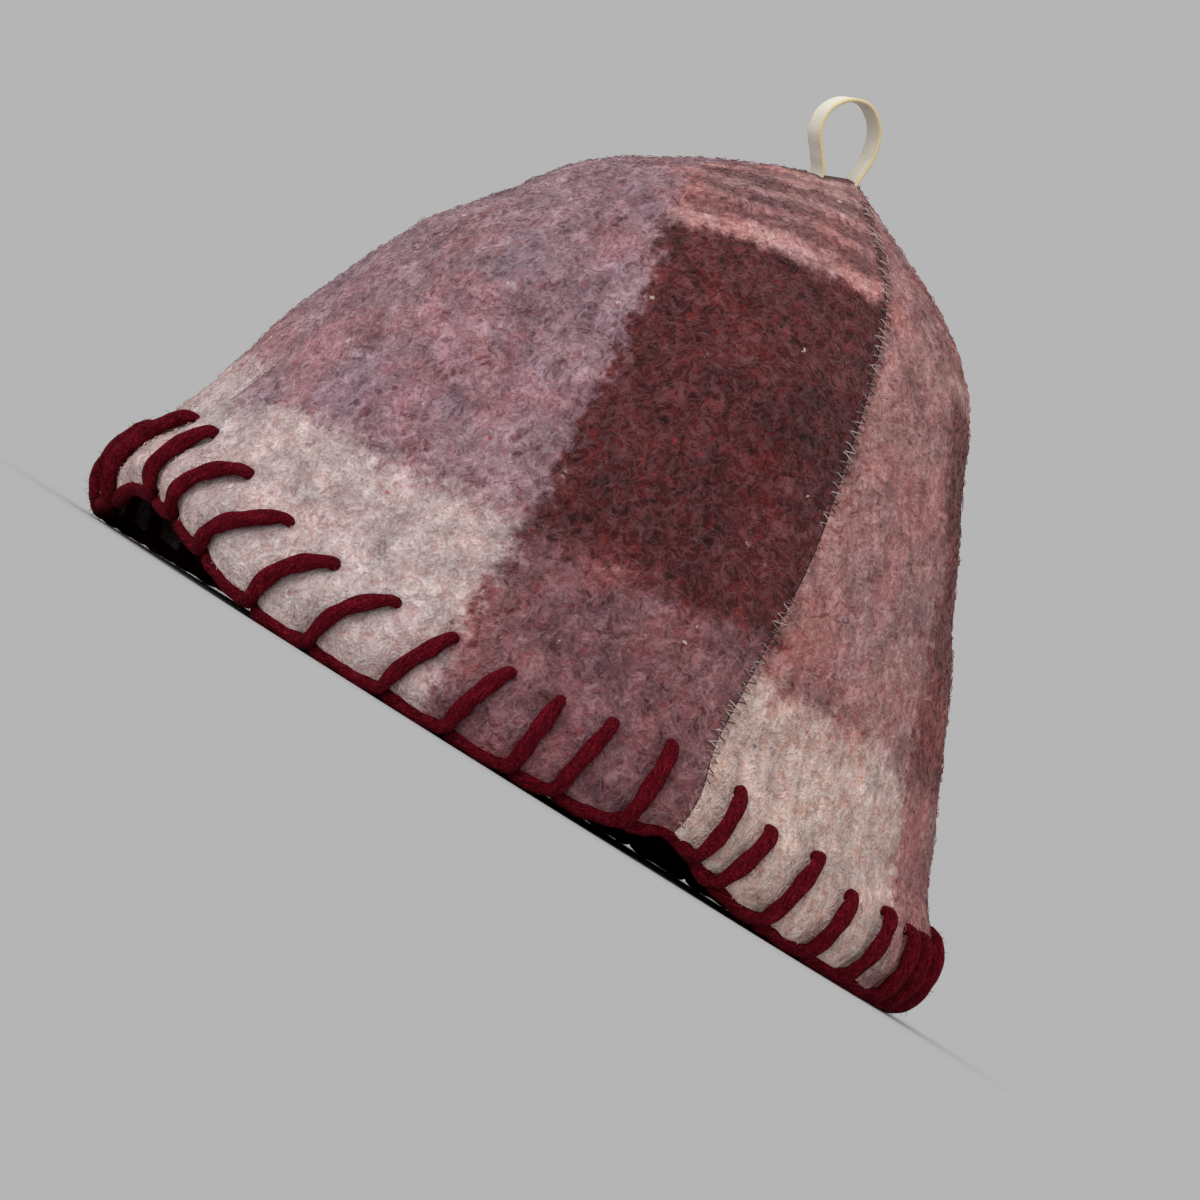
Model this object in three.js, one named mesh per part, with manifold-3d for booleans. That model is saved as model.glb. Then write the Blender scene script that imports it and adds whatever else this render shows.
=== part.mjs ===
// A bell-shaped felt sauna hat: four felt gores joined edge to edge, a thick yarn that is
// blanket-stitched round the brim, and a loop of cotton tape at the crown.
// Millimetres, +Z up. The front of the hat is towards -Y, and it stands on its brim at z = 0.

import * as THREE from 'three';
import { mergeVertices } from 'three/addons/utils/BufferGeometryUtils.js';
import Module from 'manifold-3d';

const wasm = await Module();
wasm.setup();

// ---------------------------------------------------------------- driving dimensions

const FELT = 3;                // thickness of the felt
const YARN = 4.2;              // thickness of the strand along the edge, across its flats
const LEG = 4.4;               // thickness of the yarn in a stitch's leg, where it is pulled tight
const GAP = 0.3;               // clearance between two pieces that touch
const CROWN_HOLE = 2.5;        // radius where the tips of the gores stop short of the axis
const CREASE = 1.4;            // depth of the groove along a seam
const CREASE_WIDTH = 7;        // half the width of that groove
const CREASE_FADE = 60;        // radius of the crown inside which the groove runs out
const SEAM_TWIST = 6.5;        // degrees that the seams turn between the brim and the crown
const TWIST_FROM = 15;         // heights between which they turn
const TWIST_TO = 150;
const BRIM_REACH = 58;         // height up to which the raised brim is felt
const RISE_END = 0.78;         // share of half a gore over which the brim rises to a seam

const TAPE = { width: 10, thickness: 1.4, angle: -65.4 };

// Outer face of the felt from the brim to the crown: height, and half-widths to the front,
// to the back and to the sides.
const PROFILE = [
  { z: 4.5, front: 155.5, back: 156.5, side: 110 },
  { z: 14, front: 158.5, back: 159.5, side: 113 },
  { z: 26, front: 157, back: 157, side: 111.5 },
  { z: 39.5, front: 152, back: 147, side: 107.5 },
  { z: 59.5, front: 144.5, back: 137.5, side: 103 },
  { z: 86, front: 136.5, back: 124.5, side: 97 },
  { z: 113, front: 127.5, back: 111, side: 91 },
  { z: 140, front: 115, back: 96.5, side: 83.5 },
  { z: 160, front: 101, back: 86.5, side: 75.5 },
  { z: 180, front: 85, back: 75.5, side: 65 },
  { z: 194, front: 70.5, back: 63.5, side: 55.5 },
  { z: 207, front: 49.5, back: 46.5, side: 41 },
  { z: 220.5, front: 24.5, back: 21.5, side: 20 },
  { z: 228, front: 6.5, back: 6, side: 5.7 },
  { z: 229.8, front: 1.5, back: 1.5, side: 1.5 },
];

// The seams, in degrees from +X towards +Y at the brim. The brim rises to each seam: before and
// after say how far that rise spreads, as shares of half a gore, and the powers how round it is
// there, 1 for a point and more for a hump.
const SEAMS = [
  { angle: -67.5, rise: 14, before: 0.2, powerBefore: 1, after: 0.62, powerAfter: 2.5 },
  { angle: 22.5, rise: 12, before: 0.16, powerBefore: 1, after: 0.16, powerAfter: 1 },
  { angle: 112.5, rise: 9, before: 0.25, powerBefore: 1, after: 0.25, powerAfter: 1 },
  { angle: 202.5, rise: 11, before: 0.2, powerBefore: 1, after: 0.2, powerAfter: 1 },
];

// The felt pieces, each with the seam it starts at and the colour that covers most of it.
const GORES = [
  { name: 'gore_left', seam: 0, color: 0x967a80 },
  { name: 'gore_back', seam: 1, color: 0xa5827d },
  { name: 'gore_right', seam: 2, color: 0x8c6a70 },
  { name: 'gore_front', seam: 3, color: 0x9a7e82 },
];
const GORE_COLUMNS = [0, 0.03, 0.08, 0.17, 0.28, 0.39, 0.5, 0.61, 0.72, 0.83, 0.92, 0.97, 1];
const GORE_ROWS = 21;

// Blanket stitches, by their foot on the brim: the angle in degrees, how far the tip leans
// round the hat in degrees, and how tall the leg stands.
const STITCHES = [
  { angle: -74.5, lean: 5.5, tall: 27 }, { angle: -61, lean: 1, tall: 25 },
  { angle: -54, lean: 6.5, tall: 25 }, { angle: -45.5, lean: 8.5, tall: 25 },
  { angle: -34.5, lean: 6.5, tall: 23 }, { angle: -25, lean: 6, tall: 23 },
  { angle: -14.5, lean: 3.5, tall: 23 }, { angle: -6, lean: 2.5, tall: 23 },
  { angle: 2.5, lean: 0.5, tall: 23 }, { angle: 8, lean: 1.5, tall: 25 },
  { angle: 16.5, lean: 0.5, tall: 25 }, { angle: 26.5, lean: 1, tall: 24 },
  { angle: 30.5, lean: 2.5, tall: 22 }, { angle: 38.5, lean: 3, tall: 25 },
  { angle: 47.5, lean: 1.5, tall: 21 }, { angle: 56.5, lean: 1.5, tall: 23 },
  { angle: 67, lean: -1, tall: 22 }, { angle: 73, lean: -2, tall: 22 },
  { angle: 82.5, lean: 0.5, tall: 24 }, { angle: 92, lean: 2, tall: 24 },
  { angle: 101, lean: 1, tall: 23 }, { angle: 110, lean: 2.5, tall: 25 },
  { angle: 120, lean: 1, tall: 24 }, { angle: 129.5, lean: 2, tall: 24 },
  { angle: 139, lean: 3, tall: 25 }, { angle: 148.5, lean: 1, tall: 24 },
  { angle: 158, lean: 2.5, tall: 25 }, { angle: 167.5, lean: 0.5, tall: 24 },
  { angle: 177, lean: 2, tall: 24 }, { angle: 186.5, lean: 1, tall: 25 },
  { angle: 196, lean: 3, tall: 24 }, { angle: 209, lean: 1.5, tall: 23 },
  { angle: 218.5, lean: 3, tall: 25 }, { angle: 228, lean: 5, tall: 24 },
  { angle: 237.5, lean: 6, tall: 25 }, { angle: 247, lean: 5, tall: 24 },
  { angle: 257, lean: 6, tall: 25 }, { angle: 267.5, lean: 4, tall: 24 },
  { angle: 277, lean: 5, tall: 26 },
];
const LEG_STEPS = 4;
const LEG_SIDES = 5;
const STRAND_STEP = 0.06;      // share of a gore past which the strand takes a section between

// Middle line of the tape loop, in the upright plane of the two seams it is caught in:
// out is the distance from the axis towards the front, up the height above the brim.
const LOOP_LINE = [
  { out: 0, up: 216 }, { out: 0, up: 223 }, { out: 0, up: 231 }, { out: 0, up: 240 },
  { out: 3.5, up: 248.5 }, { out: 11, up: 253 }, { out: 18.5, up: 250.5 },
  { out: 22.5, up: 244 }, { out: 21.5, up: 236.5 }, { out: 16.5, up: 230.5 },
  { out: 12.5, up: 225 }, { out: 12, up: 216 },
];
const LOOP_STEPS = 30;

// ---------------------------------------------------------------- the bell of the hat

const radians = THREE.MathUtils.degToRad;
const columns = (keys) => new THREE.CatmullRomCurve3(
  PROFILE.map((row) => new THREE.Vector3(...keys.map((key) => row[key]))),
  false, 'catmullrom', 0.5,
);
const depths = columns(['front', 'back', 'z']);
const widths = columns(['side', 'side', 'z']);

// Share of the way round from one seam to the next, and the number of the seam before it.
function placeInGore(angle) {
  const turn = THREE.MathUtils.euclideanModulo(angle - SEAMS[0].angle, 360) / 90;
  const gore = Math.min(Math.floor(turn), SEAMS.length - 1);
  return { gore, share: turn - gore };
}

// Height by which the brim is raised at an angle, most at a seam and none in mid gore.
function brimRise(angle) {
  const { gore, share } = placeInGore(angle);
  const start = SEAMS[gore];
  const end = SEAMS[(gore + 1) % SEAMS.length];
  const near = share < 0.5;
  const away = 2 * (near ? share : 1 - share);
  const spread = near ? start.after : end.before;
  const power = near ? start.powerAfter : end.powerBefore;
  const slope = (distance) => Math.exp(-((distance / spread) ** power));
  const fall = Math.max(0, (slope(away) - slope(RISE_END)) / (1 - slope(RISE_END)));
  return (near ? start : end).rise * fall;
}

// Point on the outer face of the felt: angle in degrees, height from 0 (brim) to 1 (crown).
function bell(angle, height) {
  const deep = depths.getPoint(height);
  const wide = widths.getPoint(height);
  const lift = Math.max(0, 1 - (deep.z - PROFILE[0].z) / BRIM_REACH);
  const turned = angle + SEAM_TWIST * THREE.MathUtils.smoothstep(deep.z, TWIST_FROM, TWIST_TO);
  const cos = Math.cos(radians(turned));
  const sin = Math.sin(radians(turned));
  const point = new THREE.Vector3(wide.x * cos, (sin < 0 ? deep.x : deep.y) * sin, 0);
  const radius = point.length();
  const { share } = placeInGore(angle);
  const fromSeam = Math.min(share, 1 - share) * radius * Math.PI / 2;
  const shallow = Math.min(1, radius / CREASE_FADE) ** 2;
  const groove = CREASE * shallow * Math.exp(-((fromSeam / CREASE_WIDTH) ** 2));
  point.multiplyScalar(1 - groove / radius);
  point.z = deep.z + brimRise(angle) * lift ** 2;
  return point;
}

// Direction out of the felt at a point of the bell.
function outward(angle, height) {
  const step = 0.004;
  const low = bell(angle, Math.max(0, height - step));
  const high = bell(angle, Math.min(1, height + step));
  const left = bell(angle - 1, height);
  const right = bell(angle + 1, height);
  return right.sub(left).cross(high.sub(low)).normalize();
}

// Height, from 0 (brim) to 1 (crown), at which the felt reaches a given z, found by halving.
function heightAt(angle, z) {
  let low = 0;
  let high = 1;
  for (let i = 0; i < 24; i += 1) {
    const middle = (low + high) / 2;
    if (bell(angle, middle).z < z) low = middle;
    else high = middle;
  }
  return low;
}

// ---------------------------------------------------------------- lofts and booleans

// Closed solid through rings of points. An open loft gets a cap of quads at each end, which
// joins the first half of the ring to the second half.
function loft(rings, { closed }) {
  const size = rings[0].length;
  const positions = rings.flat().flatMap((point) => point.toArray());
  const index = [];
  const quad = (a, b, c, d) => index.push(a, b, c, a, c, d);
  const spans = closed ? rings.length : rings.length - 1;
  for (let i = 0; i < spans; i += 1) {
    const here = i * size;
    const next = ((i + 1) % rings.length) * size;
    for (let j = 0; j < size; j += 1) {
      const k = (j + 1) % size;
      quad(here + j, next + j, next + k, here + k);
    }
  }
  const last = (rings.length - 1) * size;
  for (let j = 0; !closed && j < size / 2 - 1; j += 1) {
    const across = size - 1 - j;
    quad(j, j + 1, across - 1, across);
    quad(last + j, last + across, last + across - 1, last + j + 1);
  }
  const geometry = new THREE.BufferGeometry();
  geometry.setAttribute('position', new THREE.Float32BufferAttribute(positions, 3));
  geometry.setIndex(index);
  return geometry;
}

function toManifold(geometry) {
  const bare = geometry.clone();
  bare.deleteAttribute('normal');
  bare.deleteAttribute('uv');
  const merged = mergeVertices(bare, 1e-4);
  return new wasm.Manifold(new wasm.Mesh({
    numProp: 3,
    vertProperties: new Float32Array(merged.attributes.position.array),
    triVerts: new Uint32Array(merged.index.array),
  }));
}

function toGeometry(solid) {
  const mesh = solid.getMesh();
  const geometry = new THREE.BufferGeometry();
  geometry.setAttribute('position', new THREE.Float32BufferAttribute(mesh.vertProperties, 3));
  geometry.setIndex([...mesh.triVerts]);
  return geometry;
}

// ---------------------------------------------------------------- hanging loop

// The tape as a bent band, grown on every face by the given clearance.
function tapeGeometry(clearance) {
  const line = new THREE.CatmullRomCurve3(
    LOOP_LINE.map(({ out, up }) => new THREE.Vector3(out, up, 0)),
  );
  const half = TAPE.thickness / 2 + clearance;
  const edge = (side) => Array.from({ length: LOOP_STEPS + 1 }, (_, i) => {
    const point = line.getPointAt(i / LOOP_STEPS);
    const along = line.getTangentAt(i / LOOP_STEPS);
    return new THREE.Vector2(point.x - side * half * along.y, point.y + side * half * along.x);
  });
  const outline = new THREE.Shape([...edge(1), ...edge(-1).reverse()]);
  const depth = TAPE.width + 2 * clearance;
  const band = new THREE.ExtrudeGeometry(outline, { depth, bevelEnabled: false });
  band.translate(0, 0, -depth / 2);
  const angle = radians(TAPE.angle);
  const out = new THREE.Vector3(Math.cos(angle), Math.sin(angle), 0);
  const up = new THREE.Vector3(0, 0, 1);
  const across = out.clone().cross(up);
  band.applyMatrix4(new THREE.Matrix4().makeBasis(out, up, across));
  return band;
}

// ---------------------------------------------------------------- felt gores

// One felt gore between two seams: a wall of even thickness, short of each seam by half a gap.
function goreGeometry(seam) {
  const from = SEAMS[seam].angle;
  const top = 1 - CROWN_HOLE / PROFILE[PROFILE.length - 2].side / (PROFILE.length - 1);
  const heights = Array.from({ length: GORE_ROWS }, (_, i) => top * i / (GORE_ROWS - 1));
  const rings = GORE_COLUMNS.map((share) => {
    const wall = heights.map((height) => {
      const radius = bell(from + 45, height).setZ(0).length();
      const trim = THREE.MathUtils.radToDeg(GAP / 2 / radius);
      const angle = from + trim + share * (90 - 2 * trim);
      const outer = bell(angle, height);
      const inner = outer.clone().addScaledVector(outward(angle, height), -FELT);
      if (height === 0) inner.z = outer.z;
      return { outer, inner };
    });
    return [...wall.map(({ outer }) => outer), ...wall.map(({ inner }) => inner).reverse()];
  });
  return loft(rings, { closed: false });
}

// ---------------------------------------------------------------- brim yarn

// Middle of the strand that runs along the felt's edge; it lies on the floor in mid gore.
function strandPoint(angle) {
  const middle = bell(angle, 0).addScaledVector(outward(angle, 0).setZ(0).normalize(), -FELT / 2);
  middle.z = YARN / 2 + brimRise(angle);
  return middle;
}

// Angles of the strand's sections: those of the gores' columns, with one between two far ones.
function strandAngles() {
  const shares = GORE_COLUMNS.slice(0, -1).flatMap((share, i) => {
    const step = GORE_COLUMNS[i + 1] - share;
    return step > STRAND_STEP ? [share, share + step / 2] : [share];
  });
  return SEAMS.flatMap(({ angle }) => shares.map((share) => angle + 90 * share));
}

// The strand, with six flat sides, one of them down.
function strandGeometry() {
  const radius = YARN / 2 / Math.cos(radians(30));
  const rings = strandAngles().map((angle) => {
    const middle = strandPoint(angle);
    const side = outward(angle, 0).setZ(0).normalize();
    return Array.from({ length: 6 }, (_, corner) => {
      const turn = radians(60 * corner);
      return middle.clone().addScaledVector(side, radius * Math.cos(turn))
        .add(new THREE.Vector3(0, 0, radius * Math.sin(turn)));
    });
  });
  return loft(rings, { closed: true });
}

// The leg of one stitch: from the strand up the outer face of the felt.
function legGeometry({ angle, lean, tall }) {
  const clear = LEG / 2 + 2 * GAP;
  const foot = strandPoint(angle);
  foot.addScaledVector(outward(angle, 0).setZ(0).normalize(), FELT / 2 + YARN / 2 - GAP);
  const points = [foot];
  for (let i = 0; i <= LEG_STEPS; i += 1) {
    const share = i / LEG_STEPS;
    const at = angle + lean * share ** 1.5;
    const height = heightAt(at, bell(at, 0).z + tall * share);
    points.push(bell(at, height).addScaledVector(outward(at, height), clear));
  }
  const section = new THREE.Shape(Array.from({ length: LEG_SIDES }, (_, corner) => {
    const turn = (2 * Math.PI * corner) / LEG_SIDES;
    return new THREE.Vector2(Math.cos(turn), Math.sin(turn)).multiplyScalar(LEG / 2);
  }));
  return new THREE.ExtrudeGeometry(section, {
    steps: LEG_STEPS + 1,
    bevelEnabled: false,
    extrudePath: new THREE.CatmullRomCurve3(points),
  });
}

// ---------------------------------------------------------------- assembly

const hat = new THREE.Group();

function add(name, geometry, color, roughness) {
  geometry.computeVertexNormals();
  const material = new THREE.MeshStandardMaterial({ color, roughness, metalness: 0 });
  const mesh = new THREE.Mesh(geometry, material);
  mesh.name = name;
  hat.add(mesh);
}

const slots = toManifold(tapeGeometry(GAP));
for (const { name, seam, color } of GORES) {
  add(name, toGeometry(toManifold(goreGeometry(seam)).subtract(slots)), color, 0.95);
}

const stitched = STITCHES.reduce(
  (yarn, stitch) => yarn.add(toManifold(legGeometry(stitch))),
  toManifold(strandGeometry()),
);
add('brim_yarn', toGeometry(stitched), 0x640a1e, 0.9);
add('hanging_loop', tapeGeometry(0), 0xe1dece, 0.85);

export default hat;
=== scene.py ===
"""Looks of a bell-shaped felt sauna hat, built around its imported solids.

Four gores of plaid wool felt meet at zigzagged seams, a thick wool yarn is blanket-stitched
round the brim, and a loop of cotton tape is caught at the crown. The tables and the fields of
the classes are in millimetres and degrees unless they say otherwise; every mesh is written in
metres, in the frame of the solids.
"""

import logging
import math
from dataclasses import dataclass, field
from enum import Enum
from typing import NamedTuple, Sequence, Union

import bpy
import numpy as np
from mathutils import Matrix, Vector

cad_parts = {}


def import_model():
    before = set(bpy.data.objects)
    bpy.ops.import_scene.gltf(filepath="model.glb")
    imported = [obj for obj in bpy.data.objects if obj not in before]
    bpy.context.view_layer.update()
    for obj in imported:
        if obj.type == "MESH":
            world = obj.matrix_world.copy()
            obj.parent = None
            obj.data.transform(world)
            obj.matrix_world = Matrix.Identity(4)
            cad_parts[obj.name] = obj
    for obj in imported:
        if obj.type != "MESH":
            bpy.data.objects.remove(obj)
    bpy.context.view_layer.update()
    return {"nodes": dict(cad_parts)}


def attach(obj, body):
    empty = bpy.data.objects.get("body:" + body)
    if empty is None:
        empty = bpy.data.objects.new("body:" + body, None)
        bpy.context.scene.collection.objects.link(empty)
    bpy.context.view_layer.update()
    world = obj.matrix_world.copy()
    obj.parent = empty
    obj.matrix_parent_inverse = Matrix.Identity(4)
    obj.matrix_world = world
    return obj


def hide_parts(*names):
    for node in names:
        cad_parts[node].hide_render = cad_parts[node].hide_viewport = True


LOG = logging.getLogger("sauna_hat")
MM = 0.001
CLOTH_MAP = "cloth"
TONE = "tone"

Colour = tuple[float, float, float, float]
Screen = tuple[int, int, int]
Value = Union[bpy.types.NodeSocket, float, Sequence[float]]
Inputs = dict[Union[str, int], Value]


# ------------------------------------------------------------------ sizes of the hat


class ProfileRow(NamedTuple):
    """Outer face of the felt at one height, as half-widths."""

    z: float
    front: float
    back: float
    side: float


class Seam(NamedTuple):
    """A seam at the brim: its angle, the brim's rise to it, and how the rise starts and ends.

    before and after are shares of a half gore over which the brim rises and falls; the powers
    say how sharply it does.
    """

    angle: float
    rise: float
    before: float
    power_before: float
    after: float
    power_after: float


class SeamLook(Enum):
    """How a seam shows: sewn with zigzag stitches, or felted over until it is smooth."""

    SEWN = "sewn"
    FELTED = "felted over"


class Stitch(NamedTuple):
    """A blanket stitch: angle of its foot, lean of its tip and its height."""

    angle: float
    lean: float
    tall: float


class LegPoint(NamedTuple):
    """A point up the outside of a leg: share of its height, and width against the leg's."""

    share: float
    width: float


class ZigzagPoint(NamedTuple):
    """A point of a seam stitch: share of its reach across the seam, and height off the felt."""

    across: float
    off: float


class LoopPoint(NamedTuple):
    """A point of the tape's middle line: distance from the axis and height."""

    out: float
    up: float


class Stripe(NamedTuple):
    """A stripe of the plaid: where it ends along the cloth and how dark it is, 0 to 1."""

    end: float
    tone: float


class Wander(NamedTuple):
    """How a place strays: grains to the metre, detail of the noise, and reach in metres."""

    grains: Value
    detail: float
    reach: Value


class Tuft(NamedTuple):
    """A wool of the tufts: the colour it takes, the noise that it follows, and its share."""

    colour: str
    channel: str
    share: float


class Cast(NamedTuple):
    """A drift of other wool: the noise that it follows and what it multiplies a colour by."""

    channel: str
    colour: tuple[float, float, float]


class Tones(NamedTuple):
    """One colour of the plaid on a mauve gore and on a rose one, in screen values."""

    mauve: Screen
    rose: Screen


class Cut(NamedTuple):
    """How a gore is cut from the cloth.

    grain is the angle whose upright line runs along the warp; skew leans the warp and tilt
    the weft; across and up are the cloth's place there at the brim.
    """

    grain: float
    skew: float
    tilt: float
    across: float
    up: float


class GorePlan(NamedTuple):
    """A gore: its piece, its solid, the seam it starts at, its cut, and how rosy it is."""

    piece: str
    solid: str
    seam: int
    cut: Cut
    warmth: float


PROFILE = (
    ProfileRow(4.5, 155.5, 156.5, 110), ProfileRow(14, 158.5, 159.5, 113),
    ProfileRow(26, 157, 157, 111.5), ProfileRow(39.5, 152, 147, 107.5),
    ProfileRow(59.5, 144.5, 137.5, 103), ProfileRow(86, 136.5, 124.5, 97),
    ProfileRow(113, 127.5, 111, 91), ProfileRow(140, 115, 96.5, 83.5),
    ProfileRow(160, 101, 86.5, 75.5), ProfileRow(180, 85, 75.5, 65),
    ProfileRow(194, 70.5, 63.5, 55.5), ProfileRow(207, 49.5, 46.5, 41),
    ProfileRow(220.5, 24.5, 21.5, 20), ProfileRow(228, 6.5, 6, 5.7),
    ProfileRow(229.8, 1.5, 1.5, 1.5),
)

SEAMS = (
    Seam(-67.5, 14, 0.2, 1, 0.62, 2.5), Seam(22.5, 12, 0.16, 1, 0.16, 1),
    Seam(112.5, 9, 0.25, 1, 0.25, 1), Seam(202.5, 11, 0.2, 1, 0.2, 1),
)
SEAM_LOOKS = (SeamLook.FELTED, SeamLook.SEWN, SeamLook.SEWN, SeamLook.SEWN)
FLUSH = {SeamLook.SEWN: 0.7, SeamLook.FELTED: 0.15}
GORE_ANGLE = 360.0 / len(SEAMS)

STITCHES = (
    Stitch(-74.5, 5.5, 27), Stitch(-61, 1, 25), Stitch(-54, 6.5, 25), Stitch(-45.5, 8.5, 25),
    Stitch(-34.5, 6.5, 23), Stitch(-25, 6, 23), Stitch(-14.5, 3.5, 23), Stitch(-6, 2.5, 23),
    Stitch(2.5, 0.5, 23), Stitch(8, 1.5, 25), Stitch(16.5, 0.5, 25), Stitch(26.5, 1, 24),
    Stitch(30.5, 2.5, 22), Stitch(38.5, 3, 25), Stitch(47.5, 1.5, 21), Stitch(56.5, 1.5, 23),
    Stitch(67, -1, 22), Stitch(73, -2, 22), Stitch(82.5, 0.5, 24), Stitch(92, 2, 24),
    Stitch(101, 1, 23), Stitch(110, 2.5, 25), Stitch(120, 1, 24), Stitch(129.5, 2, 24),
    Stitch(139, 3, 25), Stitch(148.5, 1, 24), Stitch(158, 2.5, 25), Stitch(167.5, 0.5, 24),
    Stitch(177, 2, 24), Stitch(186.5, 1, 25), Stitch(196, 3, 24), Stitch(209, 1.5, 23),
    Stitch(218.5, 3, 25), Stitch(228, 5, 24), Stitch(237.5, 6, 25), Stitch(247, 5, 24),
    Stitch(257, 6, 25), Stitch(267.5, 4, 24), Stitch(277, 5, 26),
)
LEAN_POWER = 1.5
LEG_OUTSIDE = (LegPoint(0.22, 0.98), LegPoint(0.45, 1.04), LegPoint(0.7, 1.03), LegPoint(0.9, 0.92))
LEG_INSIDE = (0.75, 0.45, 0.18)
EDGE_SHARES = (0.2, 0.5, 0.78)

ZIGZAG = (
    ZigzagPoint(-1.0, -0.4), ZigzagPoint(-0.72, 0.4), ZigzagPoint(0.0, 0.25),
    ZigzagPoint(0.72, 0.4), ZigzagPoint(1.0, -0.4),
)

LOOP_LINE = (
    LoopPoint(0, 216), LoopPoint(0, 223), LoopPoint(0, 231), LoopPoint(0, 240),
    LoopPoint(3.5, 248.5), LoopPoint(11, 253), LoopPoint(18.5, 250.5), LoopPoint(22.5, 244),
    LoopPoint(21.5, 236.5), LoopPoint(16.5, 230.5), LoopPoint(12.5, 225), LoopPoint(12, 216),
)

# The cloth repeats its stripes; across counts along the weft, up counts along the warp. The
# fine stripes are light weft threads that show only where they cross dark warp threads.
ACROSS_START = -165.0
ACROSS_STRIPES = (Stripe(0, 0.0), Stripe(140, 1.0))
ACROSS_SOFT = 9.0
UP_START = -110.0
UP_STRIPES = (Stripe(0, 0.0), Stripe(230, 1.0))
UP_SOFT = 15.0
FINE_STRIPES = (
    Stripe(127, 1.0), Stripe(136, 0.1), Stripe(146, 0.75), Stripe(150, 0.35), Stripe(160, 0.75),
    Stripe(164, 0.35), Stripe(176, 0.8), Stripe(180, 0.3), Stripe(187, 0.6), Stripe(192, 0.2),
    Stripe(230, 0.95),
)
FINE_SOFT = 6.0
WANDERS = (Wander(60.0, 1.0, 0.01), Wander(230.0, 5.0, 0.026))

TUFTS = (Tuft("Warm", "Blue", 0.7), Tuft("Shade", "Red", 0.9), Tuft("Light", "Green", 0.85))
CASTS = (
    Cast("Red", (0.93, 0.98, 1.05)), Cast("Green", (1.13, 0.92, 0.9)),
    Cast("Blue", (0.73, 0.7, 0.72)),
)
FELT_TONES = {
    "pale": Tones((188, 168, 165), (200, 172, 160)),
    "dark_weft": Tones((143, 112, 118), (162, 114, 108)),
    "dark_warp": Tones((122, 80, 83), (160, 112, 106)),
    "dark": Tones((78, 27, 28), (118, 60, 56)),
    "fine": Tones((190, 142, 138), (176, 136, 130)),
}

GORES = (
    GorePlan("felt_left", "gore_left", 0, Cut(0.0, 0.16, -0.015, 24.5, -69.5), 0.0),
    GorePlan("felt_back", "gore_back", 1, Cut(67.5, 0.0, 0.0, 15.5, -69.0), 0.8),
    GorePlan("felt_right", "gore_right", 2, Cut(157.5, 0.03, 0.02, 62.0, -66.0), 0.3),
    GorePlan("felt_front", "gore_front", 3, Cut(247.5, -0.12, 0.0, -146.0, -67.0), 0.0),
)
FIRST_SEED = 21


# ------------------------------------------------------------------ small geometry helpers


def smooth_line(rows: np.ndarray, share: np.ndarray) -> np.ndarray:
    """Points of the smooth line through evenly counted rows.

    Args:
        rows: one point a row.
        share: how far along the rows each wanted point is, from 0 to 1.

    Returns:
        The points, in the shape of share with the rows' columns added.
    """
    last = len(rows) - 1
    place = np.clip(share, 0.0, 1.0) * last
    index = np.minimum(place.astype(int), last - 1)
    part = (place - index)[..., None]
    padded = np.vstack([2 * rows[0] - rows[1], rows, 2 * rows[-1] - rows[-2]])
    before, start, end, after = (padded[index + k] for k in range(4))
    return cubic(start, end, (end - before) / 2, (after - start) / 2, part)


def cubic(
    start: np.ndarray, end: np.ndarray, leave: np.ndarray, arrive: np.ndarray, part: np.ndarray
) -> np.ndarray:
    """Points of the cubic between two places.

    Args:
        start: where it starts.
        end: where it ends.
        leave: direction and speed at the start.
        arrive: direction and speed at the end.
        part: how far along it each point is, from 0 to 1.

    Returns:
        The points.
    """
    square = -3 * start + 3 * end - 2 * leave - arrive
    cube = 2 * start - 2 * end + leave + arrive
    return start + leave * part + square * part**2 + cube * part**3


def smoothstep(value: np.ndarray, start: float, end: float) -> np.ndarray:
    """Soft step from 0 at start to 1 at end."""
    share = np.clip((value - start) / (end - start), 0.0, 1.0)
    return share * share * (3 - 2 * share)


def unit(vectors: np.ndarray) -> np.ndarray:
    """The vectors at length 1; a vector of no length stays as it is."""
    length = np.linalg.norm(vectors, axis=-1, keepdims=True)
    return vectors / np.maximum(length, 1e-9)


def square_to(out: np.ndarray) -> np.ndarray:
    """A direction square to each given one."""
    return unit(np.cross(out, (0.37, 0.61, 0.7)))


def bell_curve(distance: np.ndarray, width: float) -> np.ndarray:
    """Soft hump: 1 at no distance, falling away over the width."""
    return np.exp(-((distance / width) ** 2))


def run_length(points: np.ndarray, axis: int = 0) -> np.ndarray:
    """Length of the way to each point of a line or a grid.

    Args:
        points: places, with their coordinates on the last axis.
        axis: the axis along which the way goes.

    Returns:
        The lengths, from 0.
    """
    steps = np.linalg.norm(np.diff(points, axis=axis), axis=-1)
    start = np.zeros_like(np.take(steps, [0], axis))
    return np.concatenate([start, np.cumsum(steps, axis)], axis)


@dataclass(frozen=True)
class Ripples:
    """Soft lumps made of many plane waves in seeded directions."""

    wavelength: tuple[float, float]
    seed: int
    waves: int = 26

    def at(self, points: np.ndarray) -> np.ndarray:
        """Height of the lumps at some points.

        Args:
            points: the places, with their coordinates on the last axis.

        Returns:
            The heights, mostly between -1 and 1.
        """
        rng = np.random.default_rng(self.seed)
        direction = unit(rng.normal(size=(self.waves, 3)))
        length = rng.uniform(*self.wavelength, size=(self.waves, 1))
        phase = rng.uniform(0, 2 * np.pi, size=self.waves)
        turn = points @ (direction * 2 * np.pi / length).T + phase
        return np.sin(turn).sum(-1) / math.sqrt(self.waves)


# ------------------------------------------------------------------ the bell


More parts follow.
